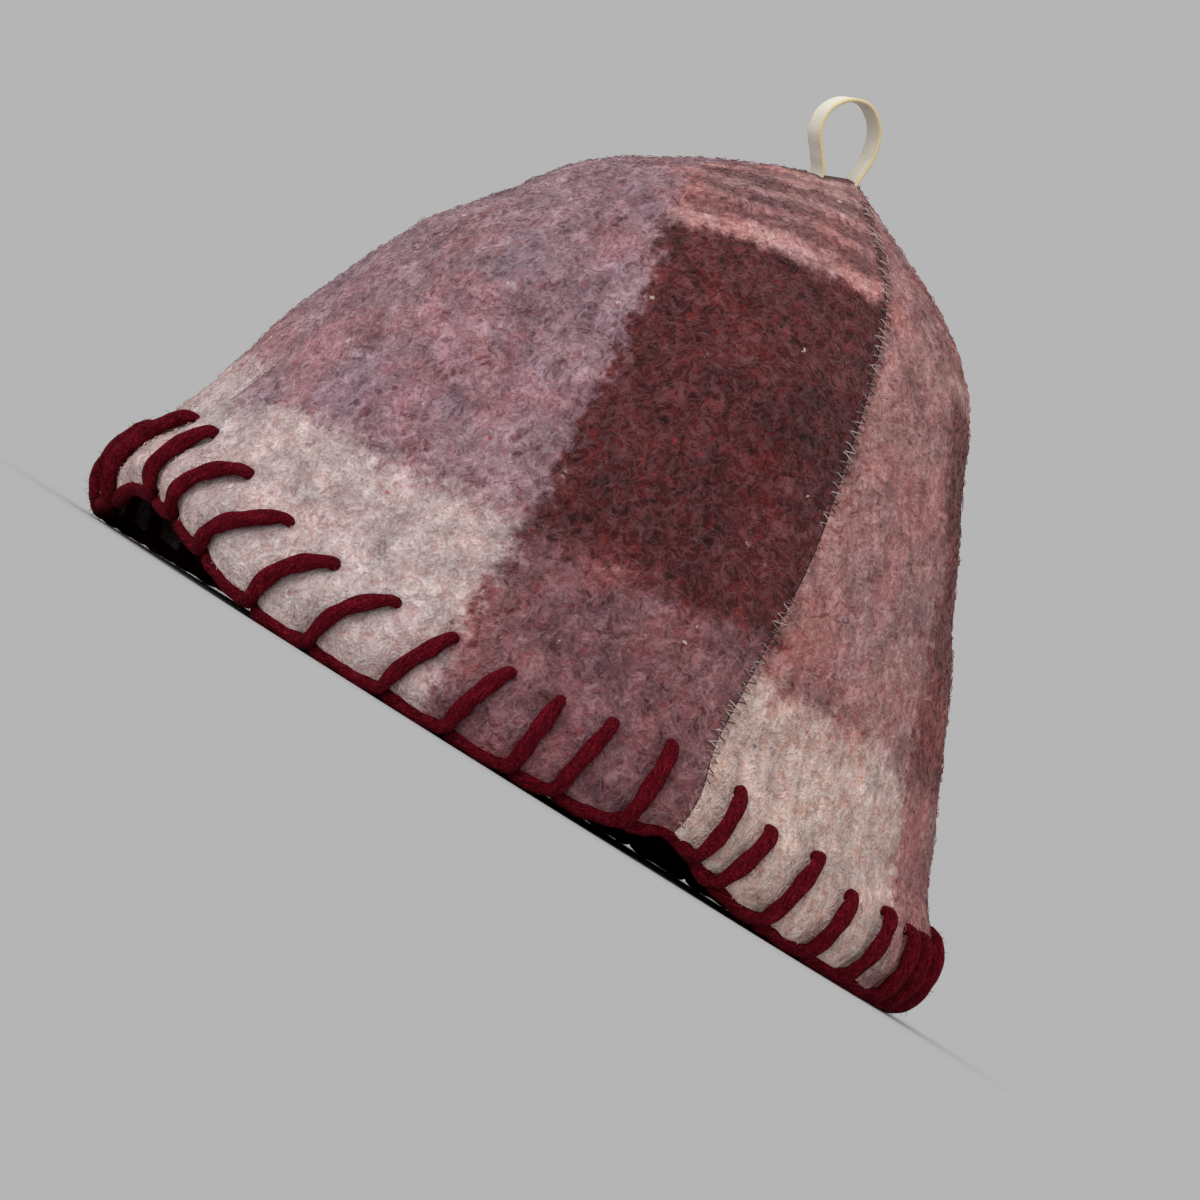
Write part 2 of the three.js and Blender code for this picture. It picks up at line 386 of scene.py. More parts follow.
@dataclass(frozen=True)
class Bell:
    """The outer face of the felt, as a function of an angle and a height from 0 to 1.

    Attributes:
        crease: depth of the groove along a seam.
        crease_width: how far from the seam the groove reaches.
        crease_fade: radius of the bell under which the groove dies away.
        seam_twist: how far the seams turn between brim and crown.
        twist_from: height at which they start to turn.
        twist_to: height at which they have turned.
        brim_reach: height over which the brim's rise is taken up.
        rise_end: share of the way to mid gore at which the brim lies level again.
        probe: step in height, from 0 to 1, by which the slope is felt.
        probe_angle: step in angle by which the slope is felt.
        halvings: how often a height is closed in on.
    """

    crease: float = 1.4
    crease_width: float = 7.0
    crease_fade: float = 60.0
    seam_twist: float = 6.5
    twist_from: float = 15.0
    twist_to: float = 150.0
    brim_reach: float = 58.0
    rise_end: float = 0.78
    probe: float = 0.004
    probe_angle: float = 1.0
    halvings: int = 22

    def share_in_gore(self, angle: np.ndarray) -> tuple[np.ndarray, np.ndarray]:
        """Which gore an angle falls in.

        Args:
            angle: angles at the brim.

        Returns:
            Numbers of the gores, and the shares of the way to their next seams.
        """
        turn = np.mod(np.asarray(angle, float) - SEAMS[0].angle, 360.0) / GORE_ANGLE
        gore = np.minimum(turn.astype(int), len(SEAMS) - 1)
        return gore, turn - gore

    def brim_rise(self, angle: np.ndarray) -> np.ndarray:
        """Height by which the brim is raised.

        Args:
            angle: angles at the brim.

        Returns:
            The heights: most at a seam and none in mid gore.
        """
        gore, share = self.share_in_gore(angle)
        following = (gore + 1) % len(SEAMS)
        _, rise, before, power_before, after, power_after = np.array(SEAMS).T
        near = share < 0.5
        away = 2 * np.where(near, share, 1 - share)
        spread = np.where(near, after[gore], before[following])
        power = np.where(near, power_after[gore], power_before[following])
        slope = np.exp(-((away / spread) ** power))
        floor = np.exp(-((self.rise_end / spread) ** power))
        fall = np.maximum(0.0, (slope - floor) / (1 - floor))
        return np.where(near, rise[gore], rise[following]) * fall

    def point(self, angle: np.ndarray, height: np.ndarray) -> np.ndarray:
        """Points of the outer face.

        Args:
            angle: angles at the brim.
            height: heights from 0 at the brim to 1 at the crown.

        Returns:
            The places, with x, y and z on the last axis.
        """
        angle, height = np.broadcast_arrays(np.asarray(angle, float), np.asarray(height, float))
        z, front, back, side = np.moveaxis(smooth_line(np.array(PROFILE), height), -1, 0)
        lift = np.maximum(0.0, 1 - (z - PROFILE[0].z) / self.brim_reach)
        twist = self.seam_twist * smoothstep(z, self.twist_from, self.twist_to)
        turned = np.radians(angle + twist)
        x = side * np.cos(turned)
        y = np.where(np.sin(turned) < 0, front, back) * np.sin(turned)
        radius = np.maximum(np.hypot(x, y), 1e-6)
        gore, share = self.share_in_gore(angle)
        from_seam = np.minimum(share, 1 - share) * radius * np.pi / 2
        flush = np.array([FLUSH[look] for look in SEAM_LOOKS])
        shallow = np.minimum(1.0, radius / self.crease_fade) ** 2
        shallow = shallow * flush[np.where(share < 0.5, gore, (gore + 1) % len(SEAMS))]
        scale = 1 - self.crease * shallow * bell_curve(from_seam, self.crease_width) / radius
        return np.stack([x * scale, y * scale, z + self.brim_rise(angle) * lift**2], -1)

    def outward(self, angle: np.ndarray, height: np.ndarray) -> np.ndarray:
        """Directions out of the felt.

        Args:
            angle: angles at the brim.
            height: heights from 0 to 1.

        Returns:
            The directions, at length 1.
        """
        low = self.point(angle, np.maximum(0.0, np.asarray(height) - self.probe))
        high = self.point(angle, np.minimum(1.0, np.asarray(height) + self.probe))
        left = self.point(np.asarray(angle) - self.probe_angle, height)
        right = self.point(np.asarray(angle) + self.probe_angle, height)
        return unit(np.cross(right - left, high - low))

    def height_above_brim(self, angle: np.ndarray, tall: np.ndarray) -> np.ndarray:
        """Heights from 0 to 1 that lie a given way above the brim's edge.

        Args:
            angle: angles at the brim.
            tall: the distances above the edge.

        Returns:
            The heights.
        """
        target = self.point(angle, 0.0)[..., 2] + tall
        low, high = np.zeros_like(target), np.ones_like(target)
        for _ in range(self.halvings):
            middle = (low + high) / 2
            below = self.point(angle, middle)[..., 2] < target
            low, high = np.where(below, middle, low), np.where(below, high, middle)
        return low


# ------------------------------------------------------------------ meshes from arrays


def shape_grid(name: str, points: np.ndarray, cloth: np.ndarray) -> bpy.types.Object:
    """A primitive grid whose points are put in place and whose meeting edges are welded.

    Args:
        name: name of the piece.
        points: rows by columns of places, in millimetres.
        cloth: rows by columns of places on the flat material, in metres.

    Returns:
        The piece, with its faces outwards and a UV map called cloth.
    """
    rows, columns = points.shape[0] - 1, points.shape[1] - 1
    bpy.ops.object.select_all(action="DESELECT")
    bpy.ops.mesh.primitive_grid_add(x_subdivisions=columns, y_subdivisions=rows, size=1.0)
    piece = bpy.context.active_object
    piece.name = name
    mesh = piece.data
    mesh.name = name
    flat = np.empty(len(mesh.vertices) * 3)
    mesh.vertices.foreach_get("co", flat)
    flat = flat.reshape(-1, 3) + 0.5
    column = np.rint(flat[:, 0] * columns).astype(int)
    row = np.rint(flat[:, 1] * rows).astype(int)
    mesh.vertices.foreach_set("co", (points[row, column] * MM).ravel())
    corners = np.empty(len(mesh.loops), int)
    mesh.loops.foreach_get("vertex_index", corners)
    while mesh.uv_layers:
        mesh.uv_layers.remove(mesh.uv_layers[0])
    layer = mesh.uv_layers.new(name=CLOTH_MAP)
    layer.data.foreach_set("uv", cloth[row, column][corners].ravel())
    bpy.ops.object.mode_set(mode="EDIT")
    bpy.ops.mesh.select_all(action="SELECT")
    bpy.ops.mesh.remove_doubles(threshold=1e-6)
    bpy.ops.mesh.normals_make_consistent(inside=False)
    bpy.ops.object.mode_set(mode="OBJECT")
    bpy.ops.object.shade_smooth()
    return piece


def bundle(
    centres: np.ndarray, radii: np.ndarray, hint: np.ndarray, sides: int
) -> tuple[np.ndarray, np.ndarray]:
    """Many short strands at once, each closed at its root and pointed at its tip.

    Args:
        centres: strands by steps of middle points; the last is the tip.
        radii: radius at each step but the last.
        hint: one direction a strand that it doesn't follow, to turn its section by.
        sides: sides of the section.

    Returns:
        The points and the triangles.
    """
    count, steps, _ = centres.shape
    along = unit(np.gradient(centres, axis=1))[:, :-1]
    side = unit(np.cross(along, hint[:, None, :]))
    up = np.cross(along, side)
    turn = 2 * np.pi * np.arange(sides) / sides
    ring = side[:, :, None] * np.cos(turn)[:, None] + up[:, :, None] * np.sin(turn)[:, None]
    rings = centres[:, :-1, None] + ring * radii[None, :, None, None]
    points = np.concatenate([rings.reshape(count, -1, 3), centres[:, -1:]], 1)
    faces = []
    for step in range(steps - 2):
        here, above = step * sides, (step + 1) * sides
        for k in range(sides):
            after = (k + 1) % sides
            faces.append((here + k, here + after, above + after))
            faces.append((here + k, above + after, above + k))
    last = (steps - 2) * sides
    tip = (steps - 1) * sides
    faces.extend((last + k, last + (k + 1) % sides, tip) for k in range(sides))
    faces.extend((0, k + 1, k) for k in range(1, sides - 1))
    size = points.shape[1]
    triangles = np.array(faces)[None] + size * np.arange(count)[:, None, None]
    return points.reshape(-1, 3), triangles.reshape(-1, 3)


def join_strands(
    name: str, points: np.ndarray, faces: np.ndarray, cloth: np.ndarray, tone: np.ndarray
) -> bpy.types.Object:
    """One mesh of many strands.

    Args:
        name: name of the piece.
        points: places in millimetres.
        faces: triangles.
        cloth: place on the cloth of each point, in metres.
        tone: how light each point's strand is, from 0 to 1.

    Returns:
        The piece, with a UV map called cloth and an attribute called tone.
    """
    mesh = bpy.data.meshes.new(name)
    mesh.vertices.add(len(points))
    mesh.vertices.foreach_set("co", (points * MM).ravel())
    mesh.loops.add(faces.size)
    mesh.loops.foreach_set("vertex_index", faces.ravel())
    mesh.polygons.add(len(faces))
    mesh.polygons.foreach_set("loop_start", np.arange(0, faces.size, 3))
    mesh.polygons.foreach_set("use_smooth", np.ones(len(faces), bool))
    mesh.update(calc_edges=True)
    layer = mesh.uv_layers.new(name=CLOTH_MAP)
    layer.data.foreach_set("uv", cloth[faces.ravel()].ravel())
    attribute = mesh.attributes.new(TONE, "FLOAT", "POINT")
    attribute.data.foreach_set("value", tone.astype(np.float32))
    piece = bpy.data.objects.new(name, mesh)
    bpy.context.scene.collection.objects.link(piece)
    return piece


# ------------------------------------------------------------------ shader nodes


def srgb(red: int, green: int, blue: int) -> Colour:
    """A colour given by its screen values.

    Args:
        red: from 0 to 255, as are the next two.
        green: the green value.
        blue: the blue value.

    Returns:
        The colour as linear light.
    """
    linear = []
    for value in (red / 255, green / 255, blue / 255):
        dark = value / 12.92
        bright = ((value + 0.055) / 1.055) ** 2.4
        linear.append(dark if value <= 0.04045 else bright)
    return (*linear, 1.0)


def grey(tone: float) -> Colour:
    """A grey of so much linear light."""
    return (tone, tone, tone, 1.0)


class Board:
    """Places and joins the nodes of one material or one node group."""

    def __init__(self, tree: bpy.types.NodeTree) -> None:
        """Keeps the tree that the nodes go in."""
        self.tree = tree

    def add(self, kind: str, inputs: Inputs | None = None, **settings: object) -> bpy.types.Node:
        """Adds a node.

        Args:
            kind: the shader node's type, without its ShaderNode prefix.
            inputs: sockets or constants by the name or number of the input.
            **settings: the node's own settings.

        Returns:
            The node.
        """
        node = self.tree.nodes.new("ShaderNode" + kind)
        for name, value in settings.items():
            setattr(node, name, value)
        self.feed(node, inputs or {})
        return node

    def place(self, group: bpy.types.NodeTree, inputs: Inputs) -> bpy.types.Node:
        """Places a node group.

        Args:
            group: the node group.
            inputs: its own values, by the name of the input.

        Returns:
            The node.
        """
        node = self.tree.nodes.new("ShaderNodeGroup")
        node.node_tree = group
        self.feed(node, inputs)
        return node

    def feed(self, node: bpy.types.Node, inputs: Inputs) -> None:
        """Joins sockets to a node's inputs, or writes constants into them.

        Args:
            node: the node that is fed.
            inputs: sockets or constants by the name or number of the input.
        """
        for key, value in inputs.items():
            if isinstance(value, bpy.types.NodeSocket):
                self.tree.links.new(value, node.inputs[key])
            else:
                node.inputs[key].default_value = value

    def math(self, operation: str, first: Value, second: Value = 0.0) -> bpy.types.NodeSocket:
        """Two numbers worked together, by the operation's name."""
        return self.add("Math", {0: first, 1: second}, operation=operation).outputs[0]

    def vector(self, operation: str, first: Value, second: Value) -> bpy.types.NodeSocket:
        """Two vectors worked together, by the operation's name; SCALE takes a number second."""
        other = "Scale" if operation == "SCALE" else 1
        return self.add("VectorMath", {0: first, other: second}, operation=operation).outputs[0]

    def stretch(self, value: Value, share: Value) -> bpy.types.NodeSocket:
        """A tone that swings about 1 by a share of a value that swings about 0."""
        return self.math("ADD", self.math("MULTIPLY", value, share), 1.0)

    def fade(
        self, value: Value, start: float, end: float, low: float = 0.0, high: float = 1.0
    ) -> bpy.types.NodeSocket:
        """Soft step of a number.

        Args:
            value: the number.
            start: where the step starts.
            end: where it ends.
            low: what is given before it.
            high: what is given after it.

        Returns:
            The stepped number.
        """
        limits = {"From Min": start, "From Max": end, "To Min": low, "To Max": high}
        node = self.add("MapRange", {"Value": value, **limits}, interpolation_type="SMOOTHSTEP")
        return node.outputs["Result"]

    def blend(self, factor: Value, first: Value, second: Value) -> bpy.types.NodeSocket:
        """Two colours mixed, from all of the first at 0 to all of the second at 1."""
        return self.add("Mix", {0: factor, 6: first, 7: second}, data_type="RGBA").outputs[2]

    def noise(
        self, place: Value, scale: Value, detail: float = 2.0, rough: float = 0.5
    ) -> bpy.types.Node:
        """Soft noise at a place, with so many grains to the metre."""
        inputs = {"Vector": place, "Scale": scale, "Detail": detail, "Roughness": rough}
        return self.add("TexNoise", inputs)

    def waver(
        self, place: Value, scale: Value, detail: float = 2.0, rough: float = 0.5
    ) -> bpy.types.NodeSocket:
        """Soft noise as a number about zero, up to a half to each side."""
        return self.math("SUBTRACT", self.noise(place, scale, detail, rough).outputs["Fac"], 0.5)

    def stray(
        self, place: Value, source: Value, wander: Wander, rough: float = 0.5
    ) -> bpy.types.NodeSocket:
        """A place moved about by soft noise.

        Args:
            place: the place that is moved.
            source: the place at which the noise is read.
            wander: how it strays; its grains and its reach may be sockets.
            rough: roughness of the noise.

        Returns:
            The moved place.
        """
        noise = self.noise(source, wander.grains, wander.detail, rough).outputs["Color"]
        about_zero = self.vector("SUBTRACT", noise, (0.5, 0.5, 0.5))
        return self.vector("ADD", place, self.vector("SCALE", about_zero, wander.reach))

    def thread(self, place: Value, scale: Value, width: float) -> bpy.types.NodeSocket:
        """Mask of curling lines, as of loose fibres."""
        away = self.math("ABSOLUTE", self.waver(place, scale, 1.5))
        return self.fade(away, 0.0, width, 1.0, 0.0)

    def bump(self, height: Value, distance: float, strength: float = 1.0) -> bpy.types.NodeSocket:
        """A normal that follows a height, whose 1 is the distance in metres."""
        inputs = {"Height": height, "Strength": strength, "Distance": distance}
        return self.add("Bump", inputs).outputs["Normal"]


def new_group(
    name: str, inputs: Sequence[tuple[str, str]], outputs: Sequence[tuple[str, str]]
) -> tuple[Board, bpy.types.Node, bpy.types.Node]:
    """An empty node group with named sockets.

    Args:
        name: name of the group.
        inputs: pairs of a socket's name and its type.
        outputs: the same for what it gives.

    Returns:
        The board to build on, the node with the inputs and the node with the outputs.
    """
    tree = bpy.data.node_groups.new(name, "ShaderNodeTree")
    for title, kind in inputs:
        tree.interface.new_socket(title, in_out="INPUT", socket_type="NodeSocket" + kind)
    for title, kind in outputs:
        tree.interface.new_socket(title, in_out="OUTPUT", socket_type="NodeSocket" + kind)
    return Board(tree), tree.nodes.new("NodeGroupInput"), tree.nodes.new("NodeGroupOutput")


def new_material(name: str) -> tuple[bpy.types.Material, Board, bpy.types.Node]:
    """A material with only its shader and output.

    Args:
        name: name of the material.

    Returns:
        The material, the board to build on and its shader.
    """
    material = bpy.data.materials.new(name)
    material.use_nodes = True
    board = Board(material.node_tree)
    return material, board, material.node_tree.nodes["Principled BSDF"]


def stripe_ramp(
    board: Board, place: bpy.types.NodeSocket, start: float, stripes: Sequence[Stripe], soft: float
) -> bpy.types.NodeSocket:
    """Darkness of a repeating row of stripes.

    Args:
        board: where the nodes go.
        place: distance along the cloth, in metres.
        start: where the first stripe starts.
        stripes: the stripes in order.
        soft: width over which one stripe turns into the next.

    Returns:
        The darkness, from 0 to 1.
    """
    period = stripes[-1].end - start
    shifted = board.math("SUBTRACT", place, start * MM)
    turns = board.math("FRACT", board.math("DIVIDE", shifted, period * MM))
    node = board.add("ValToRGB", {"Fac": turns})
    ramp = node.color_ramp
    ramp.interpolation = "EASE"
    first, last = ramp.elements
    first.position, first.color = 0.0, grey(stripes[0].tone)
    last.position, last.color = 1.0, grey(stripes[-1].tone)
    half = soft / period / 2
    for here, following in zip(stripes, stripes[1:]):
        middle = (here.end - start) / period
        ramp.elements.new(middle - half).color = grey(here.tone)
        ramp.elements.new(middle + half).color = grey(following.tone)
    return node.outputs["Color"]


def plaid_group() -> bpy.types.NodeTree:
    """Node group of the plaid: colour by the crossing of light and dark stripes.

    Returns:
        The node group.
    """
    titles = ("Pale", "Dark weft", "Dark warp", "Dark", "Fine")
    colours = [(title, "Color") for title in titles]
    board, given, result = new_group(
        "plaid", [("Cloth", "Vector"), ("Point", "Vector"), *colours], [("Color", "Color")]
    )
    cloth, point = given.outputs["Cloth"], given.outputs["Point"]
    moved = cloth
    for wander in WANDERS:
        moved = board.stray(moved, point, wander, rough=0.62)
    apart = board.add("SeparateXYZ", {0: moved})
    warp = stripe_ramp(board, apart.outputs["X"], ACROSS_START, ACROSS_STRIPES, ACROSS_SOFT)
    weft = stripe_ramp(board, apart.outputs["Y"], UP_START, UP_STRIPES, UP_SOFT)
    # The fine stripes stray half as far, and loose threads are drawn along the weft in them.
    calmer = board.vector("SCALE", board.vector("ADD", moved, cloth), 0.5)
    calmer = board.add("SeparateXYZ", {0: calmer})
    fine = stripe_ramp(board, calmer.outputs["Y"], UP_START, FINE_STRIPES, FINE_SOFT)
    drawn = board.vector("MULTIPLY", cloth, (45.0, 330.0, 0.0))
    loose = board.math("MULTIPLY", board.waver(drawn, 1.0), 1.4)
    fine = board.math("ADD", fine, board.math("MULTIPLY", loose, board.math("SUBTRACT", 1.0, fine)))
    light = board.blend(weft, given.outputs["Pale"], given.outputs["Dark weft"])
    crossed = board.blend(fine, given.outputs["Fine"], given.outputs["Dark"])
    dark = board.blend(weft, given.outputs["Dark warp"], crossed)
    board.feed(result, {"Color": board.blend(warp, light, dark)})
    return board.tree


def wool_group() -> bpy.types.NodeTree:
    """Node group of matted wool: tufts of mixed wools and curling fibres over a colour.

    Each part of it counts its grains as a share of the group's own.

    Returns:
        The node group.
    """
    board, given, result = new_group(
        "matted_wool",
        [("Point", "Vector"), ("Color", "Color"), ("Light", "Color"), ("Shade", "Color"),
         ("Warm", "Color"), ("Grains", "Float"), ("Contrast", "Float")],
        [("Color", "Color"), ("Height", "Float")],
    )
    point = given.outputs["Point"]

    def grains(share: float) -> bpy.types.NodeSocket:
        """A share of the group's grains to the metre."""
        return board.math("MULTIPLY", given.outputs["Grains"], share)

    reach = board.math("DIVIDE", 2.2, given.outputs["Grains"])
    curled = board.stray(point, point, Wander(grains(0.5), 1.0, reach))
    aside = board.vector("ADD", curled, (0.31, 0.17, 0.23))
    light = board.thread(curled, grains(0.85), width=0.1)
    shade = board.thread(aside, grains(0.7), width=0.12)
    mixed = board.noise(curled, grains(0.75), detail=4.0, rough=0.66).outputs["Color"]
    tufts = board.add("SeparateColor", {0: mixed}).outputs
    patch = board.waver(point, grains(0.3), detail=3.0)
    grain = board.noise(point, grains(3.0), detail=2.0, rough=0.6).outputs["Fac"]
    color = given.outputs["Color"]
    for tuft in TUFTS:
        mask = board.fade(tufts[tuft.channel], start=0.49, end=0.65)
        mask = board.math("MULTIPLY", mask, tuft.share)
        color = board.blend(mask, color, given.outputs[tuft.colour])
    for threads, share, title in ((shade, 0.09, "Shade"), (light, 0.44, "Light")):
        color = board.blend(board.math("MULTIPLY", threads, share), color, given.outputs[title])
    mottle = board.math("MULTIPLY", board.math("SUBTRACT", grain, 0.5), 0.9)
    mottle = board.math("ADD", patch, mottle)
    tone = board.stretch(mottle, given.outputs["Contrast"])
    height: Value = 0.0
    for part, share in ((light, 0.22), (grain, 0.5), (shade, -0.08),
                        (tufts["Green"], 1.6), (tufts["Red"], -1.0)):
        height = board.math("ADD", height, board.math("MULTIPLY", part, share))
    board.feed(result, {"Color": board.vector("SCALE", color, tone), "Height": height})
    return board.tree


@dataclass(frozen=True)
class FeltFinish:
    """Matted plaid wool of one gore.

    Attributes:
        name: name of the material.
        pale: colour where pale threads cross.
        dark_weft: colour where dark weft crosses pale warp.
        dark_warp: colour where dark warp crosses pale weft.
        dark: colour where dark threads cross.
        fine: colour of the light weft threads on the dark warp.
        streaks: how strongly the wool is streaked along the warp.
        plaid: the plaid's node group.
        wool: the matted wool's node group.
        grains: grains of the wool to the metre.
        contrast: how strongly its grains differ.
        nap: depth of the nap, in metres.
    """

    name: str
    pale: Colour
    dark_weft: Colour
    dark_warp: Colour
    dark: Colour
    fine: Colour
    streaks: float
    plaid: bpy.types.NodeTree
    wool: bpy.types.NodeTree
    grains: float = 345.0
    contrast: float = 1.2
    nap: float = 0.0008

    def plaid_colour(self, board: Board, point: bpy.types.NodeSocket) -> bpy.types.NodeSocket:
        """The plaid's colour at a point, with drifts of cooler and warmer wool in it.

        Args:
            board: where the nodes go.
            point: the place on the hat.

        Returns:
            The colour.
        """
        cloth = board.add("UVMap", uv_map=CLOTH_MAP).outputs["UV"]
        colour = board.place(self.plaid, {
            "Cloth": cloth, "Point": point, "Pale": self.pale, "Dark weft": self.dark_weft,
            "Dark warp": self.dark_warp, "Dark": self.dark, "Fine": self.fine,
        }).outputs["Color"]
        drift = board.noise(point, 30.0, detail=3.0, rough=0.6).outputs["Color"]
        drifts = board.add("SeparateColor", {0: drift}).outputs
        brightness = board.add("SeparateColor", {0: colour}).outputs["Green"]
        depth = board.fade(brightness, start=0.16, end=0.4, low=1.0, high=0.3)
        for cast in CASTS:
            mask = board.fade(drifts[cast.channel], start=0.46, end=0.62)
            cast_colour = board.vector("MULTIPLY", colour, cast.colour)
            colour = board.blend(board.math("MULTIPLY", mask, depth), colour, cast_colour)
        drawn = board.vector("MULTIPLY", cloth, (420.0, 55.0, 1.0))
        return board.vector("SCALE", colour, board.stretch(board.waver(drawn, 1.0), self.streaks))

    def shifted(
        self, board: Board, colour: bpy.types.NodeSocket, slope: float, base: float
    ) -> bpy.types.NodeSocket:
        """The colour times the base and a slope of itself, so pale wool changes otherwise."""
        share = board.vector("ADD", board.vector("SCALE", colour, slope), (base, base, base))
        return board.vector("MULTIPLY", colour, share)

    def material(self) -> bpy.types.Material:
        """The felt: plaid, curling fibres, flecks of other wools and a napped surface.

        Returns:
            The material.
        """
        material, board, shader = new_material(self.name)
        point = board.add("TexCoord").outputs["Object"]
        colour = self.plaid_colour(board, point)
        light = self.shifted(board, colour, slope=-1.1, base=1.85)
        shade = self.shifted(board, colour, slope=1.7, base=0.08)
        wool = board.place(self.wool, {
            "Point": point, "Color": colour, "Grains": self.grains, "Contrast": self.contrast,
            "Light": board.blend(0.06, light, srgb(216, 202, 208)),
            "Shade": board.blend(0.14, shade, srgb(42, 35, 40)),
            "Warm": board.blend(0.34, colour, srgb(168, 52, 48)),
        }).outputs
        board.feed(shader, {
            "Base Color": self.flecks(board, point, wool["Color"]),
            "Normal": board.bump(wool["Height"], self.nap),
            "Roughness": 0.95, "Specular IOR Level": 0.08,
            "Sheen Weight": 0.12, "Sheen Roughness": 0.6,
        })
        return material

    def flecks(
        self, board: Board, point: bpy.types.NodeSocket, colour: bpy.types.NodeSocket
    ) -> bpy.types.NodeSocket:
        """Sparse small flecks of cream, red and near black wool over a colour.

        Args:
            board: where the nodes go.
            point: the place on the hat.
            colour: the colour under the flecks.

        Returns:
            The colour with the flecks.
        """
        bent = board.stray(point, point, Wander(700.0, 2.0, 0.0028))
        cells = board.add("TexVoronoi", {"Vector": bent, "Scale": 120.0})
        pick = board.add("SeparateColor", {0: cells.outputs["Color"]}).outputs
        spot = board.fade(cells.outputs["Distance"], start=0.05, end=0.13, low=1.0, high=0.0)
        rare = board.math("GREATER_THAN", pick["Red"], 0.62)
        mask = board.math("MULTIPLY", board.math("MULTIPLY", spot, rare), 0.7)
        tint: Value = srgb(42, 26, 34)
        for limit, wool in ((0.4, srgb(160, 44, 48)), (0.76, srgb(222, 200, 190))):
            tint = board.blend(board.math("GREATER_THAN", pick["Green"], limit), tint, wool)
        return board.blend(mask, colour, tint)

    def hair_material(self) -> bpy.types.Material:
        """Loose hairs of the felt: the plaid's colour, lighter or darker by the hair, and painted
        lighter on the whole as painted light on the fuzz.

        Returns:
            The material.
        """
        material, board, shader = new_material(self.name + "_hair")
        point = board.add("TexCoord").outputs["Object"]
        colour = self.plaid_colour(board, point)
        tone = board.add("Attribute", attribute_name=TONE).outputs["Fac"]
        # The tone differs at random from hair to hair. On the whole the hairs are painted lighter
        # than the felt, as painted light on the fuzz that also hides their own shade.
        scaled = board.vector("SCALE", colour, board.fade(tone, 0.0, 1.0, low=0.86, high=1.3))
        paler_painted_light = board.fade(tone, start=0.5, end=1.0, high=0.08)
        # The normal leans to the eye, so that a hair is lit as softly as the felt it lies on.
        geometry = board.add("NewGeometry").outputs
        to_eye = board.vector("SCALE", geometry["Incoming"], 0.8)
        soft = board.vector("ADD", to_eye, geometry["Normal"])
        board.feed(shader, {
            "Base Color": board.blend(paler_painted_light, scaled, srgb(226, 208, 210)),
            "Normal": board.vector("NORMALIZE", soft, (0.0, 0.0, 0.0)),
            "Roughness": 0.85, "Specular IOR Level": 0.1,
        })
        return material


def felt_finish(
    name: str, warmth: float, plaid: bpy.types.NodeTree, wool: bpy.types.NodeTree
) -> FeltFinish:
    """The felt of one gore.

    Args:
        name: name of the material.
        warmth: how far its mauve tones turn to streaky rose, from 0 to 1.
        plaid: the plaid's node group.
        wool: the matted wool's node group.

    Returns:
        The finish.
    """
    mixed = {
        title: tuple(a + (b - a) * warmth for a, b in zip(srgb(*tones.mauve), srgb(*tones.rose)))
        for title, tones in FELT_TONES.items()
    }
    return FeltFinish(name=name, streaks=0.25 + 0.9 * warmth, plaid=plaid, wool=wool, **mixed)


@dataclass(frozen=True)
class YarnFinish:
    """Soft-spun crimson wool yarn.

    Attributes:
        wool: the matted wool's node group.
        colour: colour of most of its fibres.
        light: colour of its lightest fibres.
        shade: colour of its darkest fibres.
        warm: colour of its reddest fibres.
        grains: grains of the wool to the metre.
        contrast: how strongly its grains differ.
        fibres: how often the fibres change along the yarn and around it, to the metre.
        fibre_tone: how strongly they differ in tone.
        fibre_height: how strongly they stand out.
        nap: depth of the nap, in metres.
    """

    wool: bpy.types.NodeTree
    colour: Colour = srgb(102, 4, 22)
    light: Colour = srgb(144, 32, 48)
    shade: Colour = srgb(46, 2, 12)
    warm: Colour = srgb(120, 8, 24)
    grains: float = 1300.0
    contrast: float = 0.45
    fibres: tuple[float, float] = (190.0, 2300.0)
    fibre_tone: float = 3.6
    fibre_height: float = 5.0
    nap: float = 0.0006

    def material(self) -> bpy.types.Material:
        """The yarn: fine fibres that run along its twist, over matted wool.

        Returns:
            The material.
        """
        material, board, shader = new_material("crimson_yarn")
        point = board.add("TexCoord").outputs["Object"]
        cloth = board.add("UVMap", uv_map=CLOTH_MAP).outputs["UV"]
        drawn = board.vector("MULTIPLY", cloth, (*self.fibres, 1.0))
        fibre = board.waver(drawn, 1.0, detail=3.0)
        wool = board.place(self.wool, {
            "Point": point, "Color": self.colour, "Grains": self.grains,
            "Contrast": self.contrast, "Light": self.light, "Shade": self.shade,
            "Warm": self.warm,
        }).outputs
        tone = board.stretch(fibre, self.fibre_tone)
        raised = board.math("MULTIPLY", fibre, self.fibre_height)
        height = board.math("ADD", wool["Height"], raised)
        board.feed(shader, {
            "Base Color": board.vector("SCALE", wool["Color"], tone),
            "Normal": board.bump(height, self.nap),
            "Roughness": 0.9, "Specular IOR Level": 0.06,
        })
        return material


